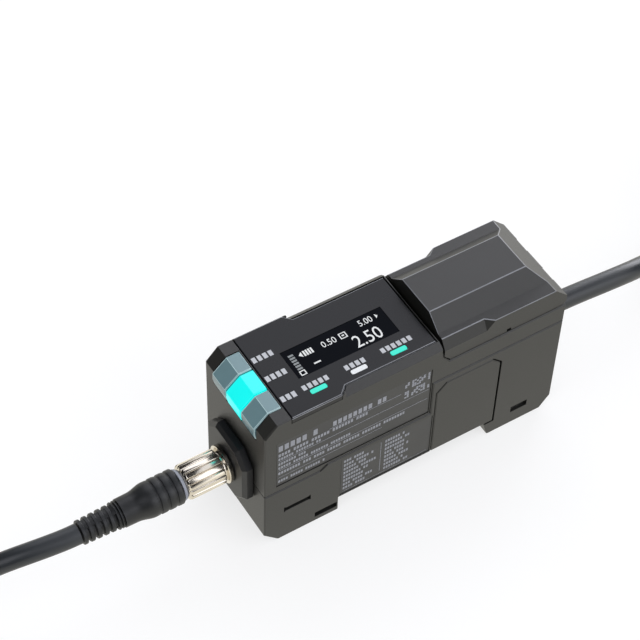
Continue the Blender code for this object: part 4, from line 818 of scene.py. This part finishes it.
def word_fields(start, end, low, high, seed):
    """A row of small upright fields between two places, grouped as words are."""
    fields = []
    cursor, k = start, seed
    width, gap = (high - low) * 0.55, (high - low) * 0.22
    while cursor + width <= end:
        group = 3 + (k * 7) % 6
        for _ in range(group):
            if cursor + width > end:
                break
            fields.append((cursor, low, cursor + width, high))
            cursor += width + gap
        cursor += gap * 3
        k += 1
    return fields


RECESS = 0.25
upper_label = [(3.7, 25.1, 50.8, 43.3)]
lower_label = [(23.8, 6.5, 52.4, 22.2)]
film_mesh = bmesh.new()
for x_low, z_low, x_high, z_high in upper_label + lower_label:
    low = (x_low, NEAR_FACE + RECESS - LABEL_LIFT, z_low)
    block(film_mesh, low, (x_high, NEAR_FACE + RECESS + 0.02, z_high))
piece("side_label_films", film_mesh, label_film)
ink = [(4.2, 31.4, 50.3, 31.55), (4.2, 35.2, 50.3, 35.35)]
ink += [(4.2, 28.3, 36.0, 28.42), (19.5, 38.9, 41.5, 39.05)]
# Rows of fields where words stand: start, end, foot, head, and where their grouping starts
LABEL_ROWS = (
    (4.2, 17.5, 39.6, 41.9, 2),
    (20.5, 38.0, 39.5, 41.5, 5),
    (4.2, 32.0, 37.4, 38.6, 1),
    (4.2, 17.0, 35.8, 36.8, 3),
    (4.2, 13.0, 33.7, 34.7, 4),
    (4.2, 27.0, 32.0, 33.0, 2),
    (4.2, 44.0, 29.6, 30.7, 5),
    (4.2, 19.0, 26.2, 27.2, 1),
)
for label_row in LABEL_ROWS:
    ink += word_fields(*label_row)
for row in range(9):
    for column in range(11):
        if (row * 5 + column * 3 + row * column) % 7 < 4:
            x, z = 42.6 + column * SQUARE_PITCH, 36.3 + row * SQUARE_PITCH
            ink.append((x, z, x + SQUARE_SIDE, z + SQUARE_SIDE))
for row in range(8):
    high = 21.4 - row * 1.75
    ink += word_fields(24.6, 31.0 + (row * 3) % 5, high - 1.05, high, row)
    ink += word_fields(37.6, 44.0 + (row * 2) % 4, high - 1.05, high, row + 3)
ink.append((36.2, 8.4, 36.35, 21.4))
ink.append((24.6, 7.2, 51.6, 7.3))
print_mesh = bmesh.new()
print_foot = NEAR_FACE + (RECESS - LABEL_LIFT)
for x_low, z_low, x_high, z_high in ink:
    block(print_mesh, (x_low, print_foot - PRINT_LIFT, z_low), (x_high, print_foot, z_high))
piece("side_label_print", print_mesh, label_ink)

# Three indicator lenses wrap over the front edge: frosted polycarbonate over one lamp each.
# The middle one is lit. They are snapped in from inside, with rims that stand proud.
LENS_TEAL = "#607D82"
# Paler colour painted on the lens rims as a highlight
LENS_RIM_HIGHLIGHT = "#B9D2D1"
LIT_CYAN = "#00F4EC"

# Frosted polycarbonate, unlit: grey-teal, cloudy from the light that scatters inside
frosted, tree, shader, place = begin("frosted_polycarbonate", Roughness=0.3, IOR=1.58)
mist = add(tree, "TexNoise", Vector=place, Scale=260.0, Detail=3.0)
vary(shader, "Base Color", mist.outputs["Fac"], LENS_TEAL, "#6B878B")

# Its moulded rims: painted paler than the lens, a painted highlight where the light that scatters inside
# leaves
rim_highlight, tree, shader, place = begin("frosted_polycarbonate_rim_painted_highlight", Roughness=0.3, IOR=1.58)
mist = add(tree, "TexNoise", Vector=place, Scale=700.0, Detail=2.0)
vary(shader, "Base Color", mist.outputs["Fac"], "#9DB9BA", LENS_RIM_HIGHLIGHT)

# The same polycarbonate with its lamp on: the whole lens glows cyan
glowing, tree, shader, place = begin(
    "lit_polycarbonate", Emission_Strength=0.85, Base_Color=srgb("#006A68"), Roughness=0.35, IOR=1.58
)
mist = add(tree, "TexNoise", Vector=place, Scale=150.0, Detail=2.0)
vary(shader, "Emission Color", mist.outputs["Fac"], LIT_CYAN, "#00FFFA")

# The unlit lenses' rounded rims get the painted highlight
rounded_copy("lens_near", "near_lens", 0.24, frosted, edge=rim_highlight)
rounded_copy("lens_far", "far_lens", 0.24, frosted, edge=rim_highlight)
rounded_copy("lens_middle", "middle_lens", 0.14, glowing)

# The display panel is a polycarbonate film plate, screen printed black behind and glossy in
# front, pressed into the top. Its marks are plain fields where words would be.
PANEL_TOP = 51.5
PANEL_BLACK = "#0C0D0F"
INK_WHITE = "#B9BBBE"
# Half a printed field's thickness
FIELD_HALF = 0.02

# Hard-coated polycarbonate plate: near black, smooth, mirroring the room softly
panel_film, tree, shader, place = begin("hard_coated_polycarbonate", IOR=1.52)
waves = add(tree, "TexNoise", Vector=place, Scale=55.0, Detail=2.0)
vary(shader, "Base Color", waves.outputs["Fac"], PANEL_BLACK, "#111215")
vary(shader, "Roughness", waves.outputs["Fac"], 0.24, 0.3)
# Its hard coat is made against glare and throws back about half of what a plain sheet does
shader.inputs["Specular IOR Level"].default_value = 0.24

# White screen ink on the plate: opaque and flat
panel_ink, tree, shader, place = begin("white_screen_ink", Roughness=0.5)
mesh_marks = add(tree, "TexNoise", Vector=place, Scale=2500.0, Detail=1.0)
vary(shader, "Base Color", mesh_marks.outputs["Fac"], "#A9ABAE", INK_WHITE)

# The plate's long top edges get the same painted edge highlight
rounded_copy(
    "display_panel", "display_plate", 0.12, panel_film,
    ridges=long_top_edges, edge=case_edge_highlight,
)


def top_fields(name, fields, height, material):
    """Thin fields lying at a height, each (x low, y low, x high, y high)."""
    bm = bmesh.new()
    for x_low, y_low, x_high, y_high in fields:
        block(bm, (x_low, y_low, height - FIELD_HALF), (x_high, y_high, height + FIELD_HALF))
    piece(name, bm, material)


# Where each printed word stands on the real plate: start, foot, how many signs, their height
WORD_PLACES = (
    (8.7, 5.0, 4, 1.8),
    (8.6, -1.9, 4, 1.8),
    (8.6, -9.4, 3, 1.8),
    (15.1, -9.0, 5, 1.6),
    (27.8, -9.0, 4, 1.6),
    (38.8, -9.0, 6, 1.6),
)
SIGN_PITCH = 1.62
marks = []
for start, foot, signs, height in WORD_PLACES:
    for k in range(signs):
        x = start + k * SIGN_PITCH
        marks.append((x, foot, x + SIGN_PITCH * 0.7, foot + height))
top_fields("plate_print", marks, PANEL_TOP, panel_ink)

# Behind the plate's opening lies a clear pane over a small organic light display. It shows a
# reading in plain numbers, two limits and a few bars.
PANE_TOP = 51.4
PANE_BLUE = "#04060B"

# Tinted acrylic: blue-black glass-like sheet with a clean gloss
pane, tree, shader, place = begin("tinted_acrylic", Roughness=0.12, IOR=1.49)
tint = add(tree, "TexNoise", Vector=place, Scale=40.0)
vary(shader, "Base Color", tint.outputs["Fac"], PANE_BLUE, "#070A10")
# Its coating against glare leaves about a sixteenth of plain acrylic's reflection
shader.inputs["Specular IOR Level"].default_value = 0.03
dress("display_window", pane)

# The display's lit points: white, a little uneven from point to point
white_points, tree, shader, place = begin(
    "white_display_points", Emission_Strength=0.85, Base_Color=srgb("#3A3C3E")
)
points_noise = add(tree, "TexNoise", Vector=place, Scale=1800.0)
vary(shader, "Emission Color", points_noise.outputs["Fac"], "#DDE0E2", "#F6F8F9")

# The same points driven dimly
dim_points, tree, shader, place = begin(
    "dim_display_points", Emission_Strength=0.6, Base_Color=srgb("#2A2C2E")
)
points_noise = add(tree, "TexNoise", Vector=place, Scale=1800.0)
vary(shader, "Emission Color", points_noise.outputs["Fac"], "#8C9296", "#A9AFB3")


def reading(name, text, x, y, height, stretch, material):
    """Plain numbers on the display, as a thin mesh; y is their foot, height that of a digit."""
    words = bpy.data.curves.new(name, "FONT")
    words.body = text
    words.size = height / 0.7 * MM
    words.extrude = 0.00001
    words.resolution_u = 3
    made = put(name, words)
    made.location = at(x, y, PANE_TOP + 0.015)
    made.scale = (stretch, 1.0, 1.0)
    bpy.context.view_layer.update()
    graph = bpy.context.evaluated_depsgraph_get()
    mesh = bpy.data.meshes.new_from_object(made.evaluated_get(graph))
    mesh.transform(made.matrix_world)
    bpy.data.objects.remove(made)
    mesh.materials.clear()
    mesh.materials.append(material)
    digits = put(name, mesh)
    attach(digits, "housing")


reading("large_reading", "2.50", 34.3, -4.2, 4.0, 0.86, white_points)
reading("upper_limit_reading", "5.00", 38.6, 1.5, 2.0, 0.86, white_points)
reading("lower_limit_reading", "0.50", 26.7, 0.4, 2.0, 0.9, white_points)
bright = [(22.0, -2.95, 24.0, -2.5), (21.3, 0.5, 21.6, 2.3)]
bright += [(32.2, 0.4, 34.3, 0.65), (32.2, 2.1, 34.3, 2.35)]
bright += [(21.3 + k * 0.75, 0.5, 21.8 + k * 0.75, 2.3) for k in range(4)]
bright += [(32.2, 0.4, 32.5, 2.35), (34.0, 0.4, 34.3, 2.35), (32.9, 1.2, 33.6, 1.6)]
bright += [(17.2, -4.6, 18.9, -4.3), (17.2, -3.3, 18.9, -3.0)]
bright += [(17.2, -4.6, 17.5, -3.0), (18.6, -4.6, 18.9, -3.0)]
top_fields("display_marks", bright, PANE_TOP, white_points)
dim = [(17.3, -2.6 + k * 0.95, 18.8, -2.0 + k * 0.95) for k in range(6)]
top_fields("display_dim_marks", dim, PANE_TOP, dim_points)
arrow_mesh = bmesh.new()
for tip, base, low, high in ((44.6, 43.9, 1.7, 3.3), (19.9, 20.9, 0.5, 2.3)):
    for z in (PANE_TOP - FIELD_HALF, PANE_TOP + FIELD_HALF):
        corners = [(tip, (low + high) / 2, z), (base, low, z), (base, high, z)]
        arrow_mesh.faces.new([arrow_mesh.verts.new(c) for c in corners])
piece("display_arrows", arrow_mesh, white_points)

# Three light pipes of clear acrylic stand in slots of the plate over lamps on the board below.
# The outer two are lit turquoise; the middle one is dark and shows its own pale grey.
BAR_TURQUOISE = "#16DCC2"

# Acrylic light pipe with its lamp on
lit_pipe, tree, shader, place = begin(
    "lit_acrylic_pipe", Emission_Strength=0.85, Base_Color=srgb("#0B7F71"), Roughness=0.3
)
mist = add(tree, "TexNoise", Vector=place, Scale=500.0)
vary(shader, "Emission Color", mist.outputs["Fac"], "#12D2B9", BAR_TURQUOISE)

# The same pipe dark: translucent white acrylic
dark_pipe, tree, shader, place = begin("opal_acrylic_pipe", Roughness=0.35, IOR=1.49)
mist = add(tree, "TexNoise", Vector=place, Scale=500.0)
vary(shader, "Base Color", mist.outputs["Fac"], "#D2D4D4", "#DEE0E0")
dress("light_bar_1", lit_pipe)
dress("light_bar_2", dark_pipe)
dress("light_bar_3", lit_pipe)

# Under the hinged cover lie five moulded keys over tact switches: a cross of four round an
# enter key. The cover turns on a steel pin through the case's two lugs.
KEY_GREY = "#707377"
KEY_TOP = 49.7

# Moulded ABS key: mid grey, fine grained
key_skin, tree, shader, place = begin("grained_abs_key", Roughness=0.48)
grain = add(tree, "TexNoise", Vector=place, Scale=1 / (0.3 * MM), Detail=3.0)
vary(shader, "Base Color", grain.outputs["Fac"], "#696C70", KEY_GREY)
bump = add(tree, "Bump", Height=grain.outputs["Fac"], Strength=0.2, Distance=0.00003)
tree.links.new(bump.outputs[0], shader.inputs["Normal"])

KEY_CENTRE = 73.0
KEY_PLACES = {
    "enter": (KEY_CENTRE, 0.0, None),
    "up": (KEY_CENTRE, 7.2, (0, 1)),
    "down": (KEY_CENTRE, -7.2, (0, -1)),
    "left": (KEY_CENTRE - 8.6, 0.0, (-1, 0)),
    "right": (KEY_CENTRE + 8.6, 0.0, (1, 0)),
}
for key, (x, y, points_to) in KEY_PLACES.items():
    rounded_copy(f"key_{key}", f"{key}_key_cap", 0.15, key_skin, body=f"{key}_key")
    mark = bmesh.new()
    if points_to is None:
        block(mark, (x - 0.9, y - 0.9, KEY_TOP - FIELD_HALF), (x + 0.9, y + 0.9, KEY_TOP + FIELD_HALF))
    else:
        dx, dy = points_to
        for z in (KEY_TOP - FIELD_HALF, KEY_TOP + FIELD_HALF):
            corners = [
                (x + dx, y + dy, z),
                (x - dx * 0.7 - dy * 0.9, y - dy * 0.7 - dx * 0.9, z),
                (x - dx * 0.7 + dy * 0.9, y - dy * 0.7 + dx * 0.9, z),
            ]
            mark.faces.new([mark.verts.new(c) for c in corners])
    piece(f"{key}_key_mark", mark, panel_ink, body=f"{key}_key")

# Drawn stainless steel: the hinge pin, the slider's spring and the switches' tin-plated shells
steel, tree, shader, place = begin("drawn_stainless_steel", Metallic=1.0)
drawn = add(tree, "TexNoise", Vector=place, Scale=1400.0, Detail=2.0)
vary(shader, "Base Color", drawn.outputs["Fac"], "#A9ABAD", "#BFC1C3")
vary(shader, "Roughness", drawn.outputs["Fac"], 0.25, 0.35)
dress("hinge_pin", steel)

# The slider's spring: a wire wound between the case's stop and the slider, squeezed as it is pulled
SPRING_START = 8.6
SPRING_LENGTH = 7.6
SPRING_RADIUS = 1.125
SPRING_WIRE = 0.45
SPRING_TURNS = 5
WIRE_SIDES = 10
SPRING_AXIS = 3.25

steps = SPRING_TURNS * 28
bm = bmesh.new()
rings = []
for k in range(steps + 1):
    turn = 2 * math.pi * SPRING_TURNS * k / steps
    out = Vector((0, math.cos(turn), math.sin(turn)))
    along = SPRING_START + SPRING_WIRE / 2 + (SPRING_LENGTH - SPRING_WIRE) * k / steps
    centre = Vector((along, 0, SPRING_AXIS)) + out * SPRING_RADIUS
    ring = []
    for side in range(WIRE_SIDES):
        tilt = 2 * math.pi * side / WIRE_SIDES
        offset = out * math.cos(tilt) + Vector((1, 0, 0)) * math.sin(tilt)
        ring.append(bm.verts.new(centre + offset * SPRING_WIRE / 2))
    rings.append(ring)
skin_rings(bm, rings)
bm.faces.new(rings[0])
bm.faces.new(rings[-1])
spring = piece("wound_slider_spring", bm, steel, stands_for=("slider_spring",))
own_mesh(spring)
for key in KEY_PLACES:
    dress(f"switch_{key}", steel)

# Inside are two glass-epoxy boards with green solder mask, the display module on its legs, a
# board-to-board header, and the two link connectors behind the side lids.
board, tree, shader, place = begin("solder_masked_glass_epoxy", Roughness=0.35)
tracks = add(tree, "TexVoronoi", {"feature": "DISTANCE_TO_EDGE"}, Vector=place, Scale=420.0)
track_line = add(
    tree, "MapRange", Value=tracks.outputs["Distance"], From_Min=0.04, From_Max=0.1, To_Min=1.0, To_Max=0.0
)
vary(shader, "Base Color", track_line.outputs[0], "#14502F", "#2E7A4C")
dress("display_board", board)
dress("main_board", board)

# Black liquid-crystal polymer: the connectors' hard, slightly streaked bodies
polymer, tree, shader, place = begin("black_liquid_crystal_polymer", Roughness=0.4)
streaks = add(tree, "TexNoise", Vector=place, Scale=600.0, Detail=2.0)
vary(shader, "Base Color", streaks.outputs["Fac"], "#121314", "#1D1E20")
dress("board_connector", polymer)
dress("link_connector_near", polymer)
dress("link_connector_far", polymer)
dress("display_module", pane)

# At the rear the cable leaves through a moulded bush that is clamped in the wall by its rim and
# tapers to the jacket with three bending grooves.
BUSH_START = 90.7
bush_profile = [
    (BUSH_START, 0.0),
    (BUSH_START, 5.3),
    (BUSH_START + 0.1, 5.4),
    (92.0, 5.4),
    (92.1, 5.3),
    (92.1, 3.9),
    (94.3, 3.9),
    (94.3, 4.25),
    (94.45, 4.4),
]
for k in range(3):
    groove = 95.9 + k * 1.7
    radius = 4.4 - 0.7 * (groove - 94.3) / 7.7
    bush_profile += [
        (groove, radius),
        (groove + 0.12, radius - 0.3),
        (groove + 0.6, radius - 0.34),
        (groove + 0.72, radius - 0.06),
    ]
bush_profile += [(101.7, 3.74), (102.0, 3.55), (102.0, 0.0)]
bush_mesh = lathe(bush_profile, (0, PLUG_AXIS), 72)
piece("tapered_cable_bush", bush_mesh, rubber, stands_for=("cable_bush",))

# Both hanks are held by a nylon tie round the middle of their runs; the front lead ends in the
# measuring head's round connector, and the rear lead in bare, tinned cores.
dress("front_tie", nylon)
dress("rear_tie", nylon)

socket_end = FRONT_HANK[0] + FRONT_HANK[1] - FRONT_HANK[2] / 2 - SOCKET_LENGTH
socket_axis = (SOCKET_SIDE, socket_height)
socket_profile = [(socket_end + 20.0, 0.0), (socket_end + 20.0, 3.3), (socket_end + 19.8, 3.5)]
for k in range(9):
    share = k / 8
    radius = 3.6 + 2.0 * (3 * share**2 - 2 * share**3)
    socket_profile.append((socket_end + 18.0 - 7.0 * share, radius))
for k in range(4):
    ring = socket_end + 9.0 - k * 2.2
    socket_profile += [
        (ring, SOCKET_RADIUS),
        (ring - 0.15, SOCKET_RADIUS - 0.3),
        (ring - 0.65, SOCKET_RADIUS - 0.3),
        (ring - 0.8, SOCKET_RADIUS),
    ]
socket_profile += [(socket_end + 0.3, SOCKET_RADIUS), (socket_end, SOCKET_RADIUS - 0.3), (socket_end, 0.0)]
moulding_mesh = lathe(socket_profile, socket_axis, 72)
connector_moulding = piece(
    "head_connector_moulding", moulding_mesh, rubber, stands_for=("head_socket",)
)
mouth = socket_end - 8.0
sleeve_profile = [
    (socket_end - 0.1, 0.0),
    (socket_end - 0.1, 3.7),
    (socket_end - 0.6, 4.0),
    (mouth + 3.4, 4.0),
    (mouth + 3.2, 3.75),
    (mouth + 2.6, 3.75),
    (mouth + 2.4, 4.0),
    (mouth + 0.35, 4.0),
    (mouth, 3.7),
    (mouth, 3.35),
    (mouth + 6.0, 3.3),
    (mouth + 6.0, 0.0),
]
sleeve_mesh = lathe(sleeve_profile, socket_axis, 72)
connector_sleeve = piece(
    "head_connector_sleeve", sleeve_mesh, nickel, stands_for=("head_socket_sleeve",)
)

# The rear lead's last stretch is stripped: the jacket ends, and its coloured cores run on side
# by side to tinned ends.
CORE_COLOURS = ("#6B3F22", "#1F4E9E", "#17181A", "#D8D8D4", "#C43A2F", "#E0B93A", "#7B7F83")
JACKET_LEFT = 7.0
CORES_LENGTH = 23.0

tail_axis = (HANK_SIDE - REAR_CABLE / 2, HANK_FOOT + REAR_CABLE * REAR_HANK[3] + 0.3 + REAR_CABLE / 2)
tail_x = STRIPPED_FROM
jacket_profile = [
    (tail_x, 0.0),
    (tail_x, REAR_CABLE / 2),
    (tail_x + JACKET_LEFT - 0.1, REAR_CABLE / 2),
    (tail_x + JACKET_LEFT, REAR_CABLE / 2 - 0.1),
    (tail_x + JACKET_LEFT, 0.0),
]
jacket_end = lathe(jacket_profile, tail_axis, 48)
core_pieces = [piece("stripped_jacket_end", jacket_end, jacket, stands_for=("wire_tails",))]
for k, colour in enumerate(CORE_COLOURS):
    # Extruded PVC core: one plain colour, a little shine
    core_skin, tree, shader, place = begin(f"extruded_pvc_core_{k + 1}", Base_Color=srgb(colour))
    faint = add(tree, "TexNoise", Vector=place, Scale=700.0)
    vary(shader, "Roughness", faint.outputs["Fac"], 0.3, 0.42)
    out = 0.0 if k == 6 else 1.6
    turn = math.radians(60 * k)
    axis = (tail_axis[0] + out * math.cos(turn), tail_axis[1] + out * math.sin(turn))
    end = tail_x + JACKET_LEFT + CORES_LENGTH - 0.8 * k
    core_profile = [
        (tail_x + JACKET_LEFT - 1.0, 0.0),
        (tail_x + JACKET_LEFT - 1.0, 0.72),
        (end - 5.0, 0.72),
        (end - 5.0, 0.0),
    ]
    core_pieces.append(piece(f"core_{k + 1}", lathe(core_profile, axis, 20), core_skin))
    tip_profile = [(end - 5.2, 0.0), (end - 5.2, 0.4), (end - 0.1, 0.4), (end, 0.3), (end, 0.0)]
    core_pieces.append(piece(f"core_end_{k + 1}", lathe(tip_profile, axis, 16), steel))
